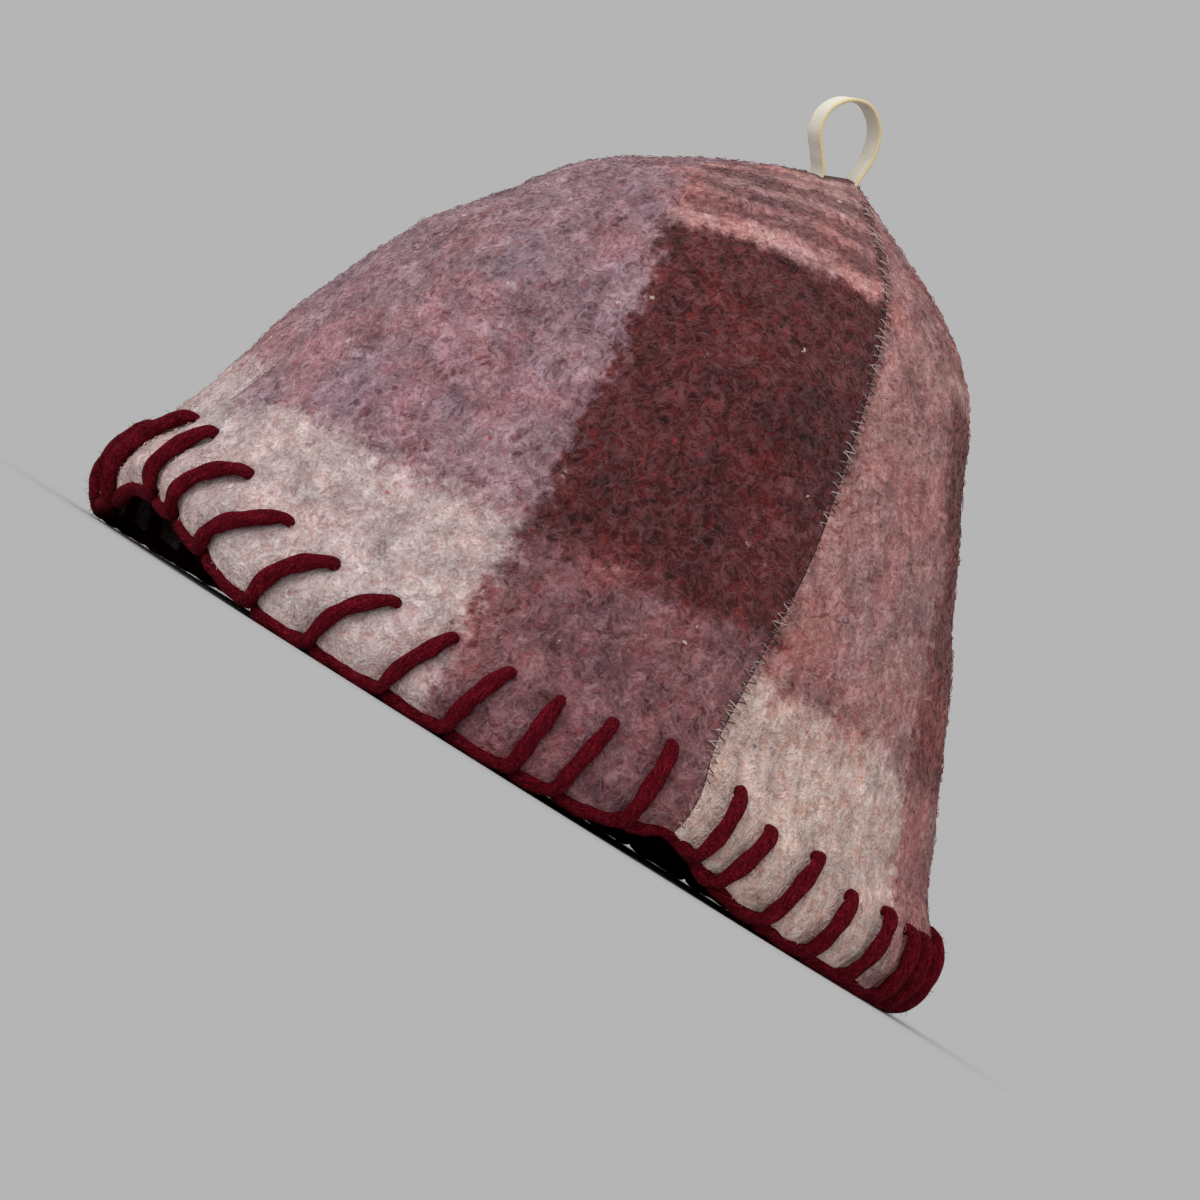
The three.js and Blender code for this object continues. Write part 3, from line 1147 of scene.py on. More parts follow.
@dataclass(frozen=True)
class TapeFinish:
    """Ivory cotton tape; its sizes are in metres.

    Attributes:
        rib: pitch of the ribs across it.
        thread: pitch of the threads along it.
        plain: half-width up to which it is plain ivory.
        edge: half-width at which it has turned warmer, a painted glow of light through its thin
            edges.
        depth: depth of the weave.
    """

    rib: float = 0.0008
    thread: float = 0.0006
    plain: float = 0.0036
    edge: float = 0.005
    depth: float = 0.00012

    def material(self) -> bpy.types.Material:
        """The tape: fine ribs across it, threads along it, and edges painted warmer as painted
        light glowing through them.

        Returns:
            The material.
        """
        material, board, shader = new_material("ivory_tape")
        cloth = board.add("UVMap", uv_map=CLOTH_MAP).outputs["UV"]
        apart = board.add("SeparateXYZ", {0: cloth}).outputs
        rib, warp = (
            board.math("SINE", board.math("MULTIPLY", apart[axis], 2 * math.pi / pitch))
            for axis, pitch in (("X", self.rib), ("Y", self.thread))
        )
        weave = board.math("MULTIPLY", rib, warp)
        point = board.add("TexCoord").outputs["Object"]
        slub = board.noise(point, 900.0, detail=3.0).outputs["Fac"]
        # Painted light: the edges are painted a warmer yellow for light glowing through the thin
        # tape.
        edge = board.fade(board.math("ABSOLUTE", apart["Y"]), self.plain, self.edge)
        colour = board.blend(edge, srgb(232, 228, 214), srgb(226, 208, 164))
        slubs = board.math("MULTIPLY", board.math("SUBTRACT", slub, 0.5), 0.25)
        tone = board.math("ADD", slubs, board.stretch(weave, 0.04))
        board.feed(shader, {
            "Base Color": board.vector("SCALE", colour, tone),
            "Normal": board.bump(board.math("ADD", weave, slub), self.depth, strength=0.5),
            "Roughness": 0.8, "Specular IOR Level": 0.25,
        })
        return material


@dataclass(frozen=True)
class ThreadFinish:
    """Fine machine thread of the seams, in mixed greys."""

    dark: Colour = srgb(70, 42, 46)
    middle: Colour = srgb(140, 112, 112)
    light: Colour = srgb(184, 168, 162)

    def material(self) -> bpy.types.Material:
        """The thread: from near black brown to grey white, stitch by stitch.

        Returns:
            The material.
        """
        material, board, shader = new_material("seam_thread")
        tone = board.add("Attribute", attribute_name=TONE).outputs["Fac"]
        colour = board.blend(board.fade(tone, start=0.1, end=0.5), self.dark, self.middle)
        colour = board.blend(board.fade(tone, start=0.5, end=1.0), colour, self.light)
        board.feed(shader, {"Base Color": colour, "Roughness": 0.7})
        return material


# ------------------------------------------------------------------ felt gores


@dataclass(frozen=True)
class Relief:
    """How the felt stands out of the plain bell, and how its edge hangs.

    The felt puffs out between the legs of the stitches, is pressed in under them and dimpled
    at their tips, and is lumpy all over.

    Attributes:
        puff: how far it puffs out.
        puff_width: how far from a leg it has done so.
        puff_fade: heights between which the puff dies away.
        groove: how deep a leg presses it in.
        groove_width: how wide a leg does.
        groove_fade: distances from a leg's tip between which the groove dies away.
        dimple: how deep it is drawn in at a leg's tip.
        dimple_width: how wide it is there.
        dimple_past: how far past the tip the dimple lies.
        big_lumps: height of the big lumps.
        big_fade: heights between which the big lumps set in.
        middle_lumps: height of the middling lumps.
        small_lumps: height of the small lumps.
        sag: how far the edge hangs between two legs.
        lip: how far it hangs beside a seam.
        lip_width: how wide it hangs there.
        sag_height: height over which the hang is taken up.
        crown: radius of the bell under which the relief dies away.
    """

    puff: float = 1.3
    puff_width: float = 6.0
    puff_fade: tuple[float, float] = (6.0, 27.0)
    groove: float = 1.0
    groove_width: float = 3.0
    groove_fade: tuple[float, float] = (-1.0, 3.0)
    dimple: float = 0.9
    dimple_width: float = 2.6
    dimple_past: float = 0.5
    big_lumps: float = 0.9
    big_fade: tuple[float, float] = (15.0, 60.0)
    middle_lumps: float = 0.22
    small_lumps: float = 0.1
    sag: float = 0.6
    lip: float = 2.0
    lip_width: float = 4.0
    sag_height: float = 7.0
    crown: float = 20.0

    def lumps(self, base: np.ndarray, up: np.ndarray) -> tuple[np.ndarray, ...]:
        """Height of the big, the middling and the small lumps.

        Args:
            base: the points on the plain bell.
            up: their distances from the brim.

        Returns:
            The heights, size by size.
        """
        big = self.big_lumps * Ripples((38.0, 80.0), 11).at(base) * smoothstep(up, *self.big_fade)
        middle = self.middle_lumps * Ripples((11.0, 20.0), 12).at(base)
        return big, middle, self.small_lumps * Ripples((5.0, 8.0), 13).at(base)

    def shape(
        self, angles: np.ndarray, base: np.ndarray, widths: np.ndarray, start: float
    ) -> tuple[np.ndarray, np.ndarray]:
        """How far each point of a gore is moved.

        Args:
            angles: angle of each point at the brim.
            base: the points on the plain bell.
            widths: width of the gore at each row.
            start: angle at which the gore starts.

        Returns:
            The height out of the bell and the drop.
        """
        up = run_length(base, 0)
        radius = widths[:, None] / (np.pi / 2)
        nearest = np.full(angles.shape, np.inf)
        groove = np.zeros(angles.shape)
        dimple = np.zeros(angles.shape)
        for stitch in STITCHES:
            share = np.clip(up / stitch.tall, 0.0, 1.0)
            turn = angles - stitch.angle - stitch.lean * share**LEAN_POWER
            turn = np.mod(turn + 180.0, 360.0) - 180.0
            away = np.abs(np.radians(turn)) * radius
            nearest = np.minimum(nearest, away)
            low, high = self.groove_fade
            reach = 1 - smoothstep(up, stitch.tall + low, stitch.tall + high)
            groove = np.maximum(groove, bell_curve(away, self.groove_width) * reach)
            past = np.hypot(away, up - stitch.tall - self.dimple_past)
            dimple = np.maximum(dimple, bell_curve(past, self.dimple_width))
        puff = 1 - bell_curve(nearest, self.puff_width)
        lift = self.puff * puff * (1 - smoothstep(up, *self.puff_fade))
        lift = lift - self.groove * groove - self.dimple * dimple
        for lumps in self.lumps(base, up):
            lift = lift + lumps
        share = (angles - start) / GORE_ANGLE
        from_seam = np.minimum(share, 1 - share) * widths[:, None]
        lip = bell_curve(from_seam, self.lip_width)
        drop = (self.sag * puff + self.lip * lip) * np.exp(-up / self.sag_height)
        return lift * np.minimum(1.0, radius / self.crown), drop


@dataclass(frozen=True)
class HairForm:
    """Loose hairs of one gore, most of which lie on the felt.

    Attributes:
        count: how many there are.
        radii: radius at each step but the tip.
        length: least and greatest length.
        curl: least and greatest turn, in radians to the millimetre.
        rise: least and greatest slope out of the felt, in radians.
        droop: share of the slope that a lying hair loses at each step.
        standing: share of the hairs that stand off the felt.
        stubby: how long those are against the others.
        sunk: how deep the roots lie in the felt.
        seam_fuzz: how much denser the hairs are at a seam.
        seam_width: how wide that is.
        crown_share: how many there are where the gore is narrow, against a broad place.
        broad: width of the gore, from side to side, at which it counts as broad.
    """

    count: int = 5200
    radii: tuple[float, ...] = (0.1, 0.13, 0.12, 0.08)
    length: tuple[float, float] = (2.5, 6.0)
    curl: tuple[float, float] = (0.25, 1.3)
    rise: tuple[float, float] = (0.25, 0.6)
    droop: float = 0.72
    standing: float = 0.06
    stubby: float = 0.6
    sunk: float = 0.25
    seam_fuzz: float = 3.0
    seam_width: float = 4.0
    crown_share: float = 0.3
    broad: float = 60.0

    def crowding(self, points: np.ndarray) -> np.ndarray:
        """How close the hairs stand: more by the seams and fewer at the crown.

        Args:
            points: the gore's points, row by row.

        Returns:
            A share for each cell between them.
        """
        inward = run_length(points, 1)[:, 1:]
        to_side = np.minimum(inward, inward[:, -1:] - inward)[:-1]
        broad = np.minimum(1.0, inward[:-1, -1:] / self.broad)
        fuzz = self.seam_fuzz * broad * bell_curve(to_side, self.seam_width)
        return broad * (1 + fuzz) + self.crown_share

    def lay(self, root: np.ndarray, out: np.ndarray, rng: np.random.Generator) -> np.ndarray:
        """Middle lines of the hairs.

        Args:
            root: where each hair starts.
            out: direction out of the felt there.
            rng: source of the draws.

        Returns:
            Hairs by steps of points.
        """
        along = unit(np.cross(out, (0.31, 0.52, 0.79)))
        across = np.cross(out, along)
        standing = rng.random(self.count) < self.standing
        length = rng.uniform(*self.length, self.count) * np.where(standing, self.stubby, 1.0)
        curl = rng.choice((-1, 1), self.count) * rng.uniform(*self.curl, self.count)
        heading = rng.uniform(0, 2 * np.pi, self.count)
        rise = rng.uniform(*self.rise, self.count)
        segments = len(self.radii)
        step = length / segments
        centres = [root - self.sunk * out]
        for k in range(segments):
            turn = heading + curl * step * (k + 0.5)
            tilt = np.where(standing, rise, rise * (1 - self.droop * k))
            flat = along * np.cos(turn)[:, None] + across * np.sin(turn)[:, None]
            move = flat * np.cos(tilt)[:, None] + out * np.sin(tilt)[:, None]
            centres.append(centres[-1] + move * step[:, None])
        return np.stack(centres, 1)


@dataclass
class FeltGore:
    """One felt gore: a hollow wall with rounded edges, and its loose hairs.

    Attributes:
        plan: its piece, its solid, its seams and its cut.
        finish: what it is made of.
        bell: the form that it follows.
        seed: seed of its hairs.
        relief: how it stands out of that form.
        hairs: its loose hairs.
        thickness: thickness of the wall.
        columns: points across it.
        rows: points up it.
        width_samples: points across it at which its width is measured.
        edge_start: height, from 0 to 1, at which the outer face starts above the brim.
        nose: how far in from a side each of the first columns lies, as a share of side_nose.
        nose_thick: how thick the wall is there, from 0 to 1.
        nose_fade: width of the gore under which the nose shrinks with it.
        side_nose: width of the rounded side.
        overlap: how far the sides of two gores reach into each other.
        brim_turns: turn of the section's points round the brim's edge, out of the level.
        brim_share: how far the brim's edge stands out, against half the thickness.
        crown_lift: how far the felt's tip stands over the bell's.
        points: the outer face.
        normals: directions out of it.
        cloth: its places on the cloth, in metres.
    """

    plan: GorePlan
    finish: FeltFinish
    bell: Bell
    seed: int
    relief: Relief = Relief()
    hairs: HairForm = HairForm()
    thickness: float = 3.0
    columns: int = 132
    rows: int = 136
    width_samples: int = 61
    edge_start: float = 0.004
    nose: tuple[float, ...] = (0.0, 0.0, 0.25, 0.6, 1.0)
    nose_thick: tuple[float, ...] = (0.0, 0.62, 0.8, 0.93, 1.0)
    nose_fade: float = 40.0
    side_nose: float = 0.9
    overlap: float = 0.08
    brim_turns: tuple[float, ...] = (60.0, 30.0, 0.0, -30.0, -60.0)
    brim_share: float = 0.9
    crown_lift: float = 0.2
    points: np.ndarray = field(init=False)
    normals: np.ndarray = field(init=False)
    cloth: np.ndarray = field(init=False)

    def widths_at(self, heights: np.ndarray) -> np.ndarray:
        """Width of the gore along the felt.

        Args:
            heights: heights from 0 to 1.

        Returns:
            The widths, never quite nothing.
        """
        even = SEAMS[self.plan.seam].angle + GORE_ANGLE * np.linspace(0, 1, self.width_samples)
        coarse = self.bell.point(even[None], heights[:, None])
        return np.maximum(run_length(coarse, 1)[:, -1], 0.5)

    def side_distances(self, widths: np.ndarray) -> tuple[np.ndarray, np.ndarray]:
        """Shares of the way across at which the columns lie, row by row.

        Args:
            widths: width of the gore at each row.

        Returns:
            The shares, and how thick the wall is there, from 0 at a side to 1.
        """
        nose, thick = np.array(self.nose), np.array(self.nose_thick)
        scale = np.minimum(1.0, widths / self.nose_fade)[:, None]
        start, end = (
            (nose[None] * self.side_nose * FLUSH[SEAM_LOOKS[seam % len(SEAMS)]] - self.overlap)
            * scale / widths[:, None] for seam in (self.plan.seam, self.plan.seam + 1)
        )
        inner = np.linspace(0.0, 1.0, self.columns - 2 * len(nose) + 3)[None, 1:-1]
        middle = start[:, -1:] + inner * (1 - start[:, -1:] - end[:, -1:])
        shares = np.concatenate([start, middle, 1 - end[:, ::-1]], 1)
        full = np.ones(inner.shape[1])
        return shares, np.concatenate([thick, full, thick[::-1]])

    def survey(self) -> np.ndarray:
        """Works out the outer face, its normals and its places on the cloth.

        Returns:
            How thick the wall is in each column, from 0 to 1.
        """
        start = SEAMS[self.plan.seam].angle
        heights = self.edge_start + (1 - self.edge_start) * np.linspace(0, 1, self.rows)
        widths = self.widths_at(heights)
        shares, thick = self.side_distances(widths)
        angles = start + GORE_ANGLE * shares
        base = self.bell.point(angles, heights[:, None])
        self.cloth = self.lay_out(angles, base)
        lift, drop = self.relief.shape(angles, base, widths, start)
        normals = self.bell.outward(angles, np.broadcast_to(heights[:, None], angles.shape))
        self.points = base + normals * lift[..., None]
        self.points[..., 2] -= drop
        self.points[-1] = (0.0, 0.0, self.bell.point(start, 1.0)[2] + self.crown_lift)
        along = np.gradient(self.points, axis=0)
        side = np.gradient(self.points, axis=1)
        self.normals = unit(np.cross(side, along))
        # At the crown the columns meet, so the plain bell gives the normals there.
        self.normals[-3:] = normals[-3:]
        self.normals[-1] = (0.0, 0.0, 1.0)
        return thick

    def lay_out(self, angles: np.ndarray, base: np.ndarray) -> np.ndarray:
        """Lays the gore out flat on the cloth.

        Args:
            angles: angle of each point at the brim.
            base: the points on the plain bell.

        Returns:
            Places along the weft and along the warp, in metres.
        """
        up, across = run_length(base, 0), run_length(base, 1)
        grain = np.array([np.interp(self.plan.cut.grain, a, x) for a, x in zip(angles, across)])
        across = across - grain[:, None]
        radius = np.hypot(base[..., 0], base[..., 1]).mean(1)
        slope = -np.gradient(radius, up.mean(1))
        bend = np.clip(slope, 0.0, 1.0) / (2 * np.maximum(radius, 4.0))
        cut = self.plan.cut
        warp = across + cut.across + cut.skew * up
        weft = up + across**2 * bend[:, None] + cut.up + cut.tilt * across
        return np.stack([warp, weft], -1) * MM

    def build(self) -> bpy.types.Object:
        """The wall: outer face, rounded edge and inner face, welded at its sides.

        Returns:
            The piece.
        """
        thick = self.survey()
        half = self.thickness / 2
        middle = self.points - self.normals * half
        reach = (half * thick)[None, :, None]
        outer = (middle + self.normals * reach)[::-1]
        down = unit(middle[0] - middle[1])
        turns = np.radians(self.brim_turns)[:, None, None]
        edge = middle[:1] + self.normals[:1] * reach * np.sin(turns)
        edge = edge + down[None] * reach * np.cos(turns) * self.brim_share
        inside = middle - self.normals * reach
        shape = np.concatenate([outer, edge, inside], 0)
        folded = np.repeat(self.cloth[:1], len(self.brim_turns), 0)
        cloth = np.concatenate([self.cloth[::-1], folded, self.cloth], 0)
        piece = shape_grid(self.plan.piece, shape, cloth)
        piece.data.materials.append(self.finish.material())
        return piece

    def cell_areas(self) -> np.ndarray:
        """Area of each cell of the outer face, in square millimetres."""
        up, across = np.diff(self.points[:, :-1], axis=0), np.diff(self.points[:-1], axis=1)
        return np.linalg.norm(np.cross(up, across), axis=-1)

    def build_hairs(self) -> bpy.types.Object:
        """Curly hairs that lie on the outer face, and a few that stand off it.

        Returns:
            The piece.
        """
        rng = np.random.default_rng(self.seed)
        count = self.hairs.count
        weight = (self.cell_areas() * self.hairs.crowding(self.points)).ravel()
        cell = rng.choice(weight.size, count, p=weight / weight.sum())
        row, column = np.divmod(cell, self.points.shape[1] - 1)
        part_up, part_across = rng.random((2, count, 1))

        def at_roots(grid: np.ndarray) -> np.ndarray:
            """Values of a grid at the roots.

            Args:
                grid: values at the gore's points, row by row.

            Returns:
                The values, one root a row.
            """
            low = grid[row, column] * (1 - part_across) + grid[row, column + 1] * part_across
            high = grid[row + 1, column] * (1 - part_across)
            high = high + grid[row + 1, column + 1] * part_across
            return low * (1 - part_up) + high * part_up

        out, cloth = unit(at_roots(self.normals)), at_roots(self.cloth)
        centres = self.hairs.lay(at_roots(self.points), out, rng)
        points, faces = bundle(centres, np.array(self.hairs.radii), out, sides=3)
        each = len(points) // count
        tone = np.repeat(rng.random(count), each)
        name = self.plan.piece + "_hairs"
        piece = join_strands(name, points, faces, np.repeat(cloth, each, 0), tone)
        piece.data.materials.append(self.finish.hair_material())
        piece.visible_shadow = False
        return piece

    def fit(self) -> None:
        """Builds the wall and its hairs and fits them to the frame."""
        wall = self.build()
        hairs = self.build_hairs()
        for piece in (wall, hairs):
            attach(piece, "root")
            LOG.info("%s: %d faces", piece.name, len(piece.data.polygons))
        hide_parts(self.plan.solid)


# ------------------------------------------------------------------ blanket stitch


@dataclass
class BlanketStitch:
    """The yarn: along the felt's edge, up each leg, through the felt and down inside it.

    Attributes:
        bell: the form that it follows.
        finish: what it is made of.
        strand: thickness of the yarn along the edge.
        leg: its thickness in the legs.
        felt: thickness of the felt that it wraps.
        sunk: how far a leg sinks into the felt.
        arrive: angle before a stitch's foot at which the strand comes to it.
        depart: angle after the foot at which it goes on.
        bow: least and greatest bow of the strand between two feet.
        sag: how far it sags there where the brim is raised.
        sag_rise: rise of the brim at which it sags in full.
        leg_spread: least and greatest thickness of a leg, against the named one.
        leg_bend: least and greatest bend of a leg, against its lean.
        step: distance between two rings of the tube.
        sides: points round a ring.
        twist: length of yarn in which its plies turn once.
        lobe: how far the two plies stand out, as a share of the radius.
        lumps: height of its lumps.
        ground: lowest height of the yarn, where it is pressed flat.
        hairs: count of its loose hairs.
        hair_radii: radius of a hair at each step but its tip.
        hair_length: least and greatest length of a hair.
        hair_sunk: how deep its root lies in the yarn.
        path: points that the yarn goes through, and once built its middle line.
        widths: its radius there.
    """

    bell: Bell
    finish: YarnFinish
    strand: float = 5.2
    leg: float = 5.3
    felt: float = 3.0
    sunk: float = 0.35
    arrive: float = 0.9
    depart: float = 1.2
    bow: tuple[float, float] = (0.2, 0.8)
    sag: float = 0.5
    sag_rise: float = 3.0
    leg_spread: tuple[float, float] = (0.93, 1.06)
    leg_bend: tuple[float, float] = (-0.35, 0.35)
    step: float = 1.15
    sides: int = 12
    twist: float = 13.0
    lobe: float = 0.09
    lumps: float = 0.09
    ground: float = 0.02
    hairs: int = 6200
    hair_radii: tuple[float, ...] = (0.075, 0.07, 0.05)
    hair_length: tuple[float, float] = (0.9, 2.7)
    hair_sunk: float = 0.3
    path: list[np.ndarray] = field(default_factory=list)
    widths: list[float] = field(default_factory=list)

    def on_edge(self, angle: float, out: float, z: float) -> np.ndarray:
        """A place by the felt's edge.

        Args:
            angle: angle at the brim.
            out: distance out of the felt's outer face.
            z: height above the strand's foot.

        Returns:
            The place.
        """
        face = self.bell.point(angle, 0.0)
        level = self.bell.outward(angle, 0.0) * (1, 1, 0)
        place = face + unit(level) * out
        place[2] = z + self.bell.brim_rise(angle)
        return place

    def on_face(self, stitch: Stitch, share: float, out: float, lean: float = 1.0) -> np.ndarray:
        """A place over a leg's line.

        Args:
            stitch: the stitch.
            share: share of the leg's height.
            out: distance out of the felt's outer face.
            lean: how far the leg leans there, against the stitch's own lean.

        Returns:
            The place.
        """
        angle = stitch.angle + lean * stitch.lean * max(share, 0.0) ** LEAN_POWER
        height = self.bell.height_above_brim(np.array(angle), np.array(stitch.tall * share))
        return self.bell.point(angle, height) + self.bell.outward(angle, height) * out

    def add(self, place: np.ndarray, width: float) -> None:
        """Adds a point that the yarn goes through."""
        self.path.append(place)
        self.widths.append(width)

    def lay_edge(self, start: float, end: float, rng: np.random.Generator) -> None:
        """Lays the strand from one stitch's foot to the next.

        Args:
            start: angle at which it leaves the first foot.
            end: angle at which it comes to the next.
            rng: source of the draws.
        """
        middle = -self.felt / 2
        bow = rng.uniform(*self.bow)
        for share in EDGE_SHARES:
            angle = start + (end - start) * share
            hump = math.sin(math.pi * share)
            rise = float(self.bell.brim_rise(np.array(angle)))
            sag = self.sag * hump * min(1.0, rise / self.sag_rise)
            place = self.on_edge(angle, out=middle + bow * hump, z=self.strand / 2 - sag)
            self.add(place, self.strand / 2 * (0.9 + 0.12 * hump))

    def lay_leg(self, stitch: Stitch, rng: np.random.Generator) -> None:
        """Lays one stitch: up outside, through the felt and down inside.

        Args:
            stitch: the stitch.
            rng: source of the draws.
        """
        foot, half = stitch.angle, self.strand / 2
        over = self.leg / 2 - self.sunk
        under = -self.felt - self.leg / 2 + self.sunk
        thick = self.leg / 2 * rng.uniform(*self.leg_spread)
        bend = rng.uniform(*self.leg_bend)
        self.add(self.on_edge(foot - self.arrive, out=-0.6, z=2.7), half * 0.92)
        self.add(self.on_edge(foot - 0.1, out=over - 0.2, z=4.2), thick * 0.92)
        for share, width in LEG_OUTSIDE:
            hump = math.sin(math.pi * share)
            place = self.on_face(stitch, share, over + 0.25 * hump, lean=1.0 + bend * hump)
            self.add(place, thick * width)
        self.add(self.on_face(stitch, 1.0, over - 0.8), thick * 0.78)
        self.add(self.on_face(stitch, 1.04, -self.felt / 2), thick * 0.7)
        self.add(self.on_face(stitch, 1.0, under + 0.4), thick * 0.85)
        for share in LEG_INSIDE:
            self.add(self.on_face(stitch, share, under), thick * 0.95)
        self.add(self.on_edge(foot + 0.3, out=-self.felt - 0.9, z=3.4), thick * 0.9)
        self.add(self.on_edge(foot + self.depart, out=-self.felt / 2 - 0.5, z=2.2), half * 0.9)

    def lay(self) -> tuple[np.ndarray, np.ndarray]:
        """Lays the whole yarn.

        Returns:
            Its middle line, closed and evenly stepped, and its radius there.
        """
        rng = np.random.default_rng(31)
        for stitch, following in zip(STITCHES, STITCHES[1:] + STITCHES[:1]):
            self.lay_leg(stitch, rng)
            end = following.angle + (360 if following.angle < stitch.angle else 0)
            self.lay_edge(stitch.angle + self.depart, end - self.arrive, rng)
        knots = np.array(self.path)
        radii = np.array(self.widths)[:, None]
        closed = np.concatenate([knots[-1:], knots, knots[:2]])
        thick = np.concatenate([radii[-1:], radii, radii[:2]])
        fine = np.linspace(0, 1, 16, endpoint=False)[:, None]
        line, width = [], []
        for k in range(len(knots)):
            line.append(self.arc(closed[k:k + 4], fine))
            width.append(thick[k + 1] * (1 - fine) + thick[k + 2] * fine)
        line, width = np.concatenate(line), np.concatenate(width)[:, 0]
        ring = np.concatenate([line, line[:1]])
        along = run_length(ring)
        even = np.linspace(0, along[-1], int(along[-1] / self.step), endpoint=False)
        places = np.stack([np.interp(even, along, ring[:, k]) for k in range(3)], 1)
        return places, np.interp(even, along, np.append(width, width[0]))

    @staticmethod
    def arc(knots: np.ndarray, fine: np.ndarray) -> np.ndarray:
        """Centripetal curve between the middle two of four knots.

        Args:
            knots: the four places.
            fine: shares of the way between the middle two.

        Returns:
            The places on the curve.
        """
        first, start, end, last = knots
        chord = np.maximum(np.linalg.norm(np.diff(knots, axis=0), axis=1) ** 0.5, 1e-4)
        leave = (start - first) / chord[0] - (end - first) / (chord[0] + chord[1])
        leave = (leave + (end - start) / chord[1]) * chord[1]
        arrive = (end - start) / chord[1] - (last - start) / (chord[1] + chord[2])
        arrive = (arrive + (last - end) / chord[2]) * chord[1]
        return cubic(start, end, leave, arrive, fine)

    def frames(self, line: np.ndarray) -> tuple[np.ndarray, np.ndarray]:
        """Directions across a closed line, turning as little as they can.

        Args:
            line: the places along it.

        Returns:
            Two directions at each place, square to the line and to each other.
        """
        along = unit(np.roll(line, -1, 0) - np.roll(line, 1, 0))
        side = np.empty_like(line)
        side[0] = unit(np.cross(along[0], (0.0, 0.0, 1.0)))
        for k in range(1, len(line)):
            turned = side[k - 1] - along[k] * np.dot(side[k - 1], along[k])
            side[k] = turned / np.linalg.norm(turned)
        # What the two ends differ by is spread over the whole line.
        last = side[-1] - along[0] * np.dot(side[-1], along[0])
        up = np.cross(along[0], side[0])
        slip = math.atan2(float(np.dot(last, up)), float(np.dot(last, side[0])))
        share = np.arange(len(line)) / len(line)
        turn = -slip * share[:, None]
        raised = np.cross(along, side)
        return (side * np.cos(turn) + raised * np.sin(turn),
                raised * np.cos(turn) - side * np.sin(turn))

    def build(self) -> bpy.types.Object:
        """The yarn as a lobed, twisted tube; where it meets the ground it is pressed flat.

        Returns:
            The piece.
        """
        line, width = self.lay()
        side, up = self.frames(line)
        count = len(line)
        twists = round(count * self.step / self.twist)
        corner = np.arange(self.sides + 1) % self.sides
        turn = 2 * np.pi * corner / self.sides
        wrap = np.arange(count + 1) % count
        share = wrap / count
        lobes = 1 + self.lobe * np.cos(2 * (turn[None] - 2 * np.pi * twists * share[:, None] / 2))
        outward = (side[wrap, None] * np.cos(turn)[None, :, None]
                   + up[wrap, None] * np.sin(turn)[None, :, None])
        places = line[wrap, None] + outward * (width[wrap, None, None] * lobes[..., None])
        lumps = self.lumps * Ripples((3.0, 6.0), 41).at(places)
        places = places + outward * lumps[..., None]
        places[..., 2] = np.maximum(places[..., 2], self.ground)
        span = np.arange(count + 1)[:, None] * self.step * MM
        ring = np.arange(self.sides + 1)[None] / self.sides * 2 * np.pi * self.strand / 2 * MM
        cloth = np.stack(np.broadcast_arrays(span, ring + span * 0.35), -1)
        piece = shape_grid("stitch_yarn", places, cloth)
        piece.data.materials.append(self.finish.material())
        self.path, self.widths = list(line), list(width)
        return piece

    def build_hairs(self) -> bpy.types.Object:
        """Short fuzz that stands off the yarn, in the yarn's own material.

        Returns:
            The piece.
        """
        rng = np.random.default_rng(43)
        line, width = np.array(self.path), np.array(self.widths)
        side, up = self.frames(line)
        pick = rng.integers(0, len(line), self.hairs)
        turn = rng.uniform(0, 2 * np.pi, self.hairs)[:, None]
        out = side[pick] * np.cos(turn) + up[pick] * np.sin(turn)
        across = unit(np.cross(out, rng.normal(size=(self.hairs, 3))))
        length = rng.uniform(*self.hair_length, self.hairs)[:, None]
        root = line[pick] + out * (width[pick, None] - self.hair_sunk)
        middle = root + out * length * 0.6 + across * length * 0.25
        tip = middle + out * length * 0.15 + across * length * 0.5
        centres = np.stack([root, (root + middle) / 2, middle, tip], 1)
        centres[..., 2] = np.maximum(centres[..., 2], 0.1)
        points, faces = bundle(centres, np.array(self.hair_radii), square_to(out), sides=3)
        points[:, 2] = np.maximum(points[:, 2], self.ground)
        each = len(points) // self.hairs
        tone = np.repeat(rng.random(self.hairs), each)
        piece = join_strands("stitch_yarn_hairs", points, faces, np.zeros((len(points), 2)), tone)
        piece.data.materials.append(bpy.data.materials["crimson_yarn"])
        return piece

    def fit(self) -> None:
        """Builds the yarn and its fuzz and fits them to the frame."""
        yarn = self.build()
        hairs = self.build_hairs()
        for piece in (yarn, hairs):
            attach(piece, "root")
            LOG.info("%s: %d faces", piece.name, len(piece.data.polygons))
        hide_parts("brim_yarn")


# ------------------------------------------------------------------ seam threads


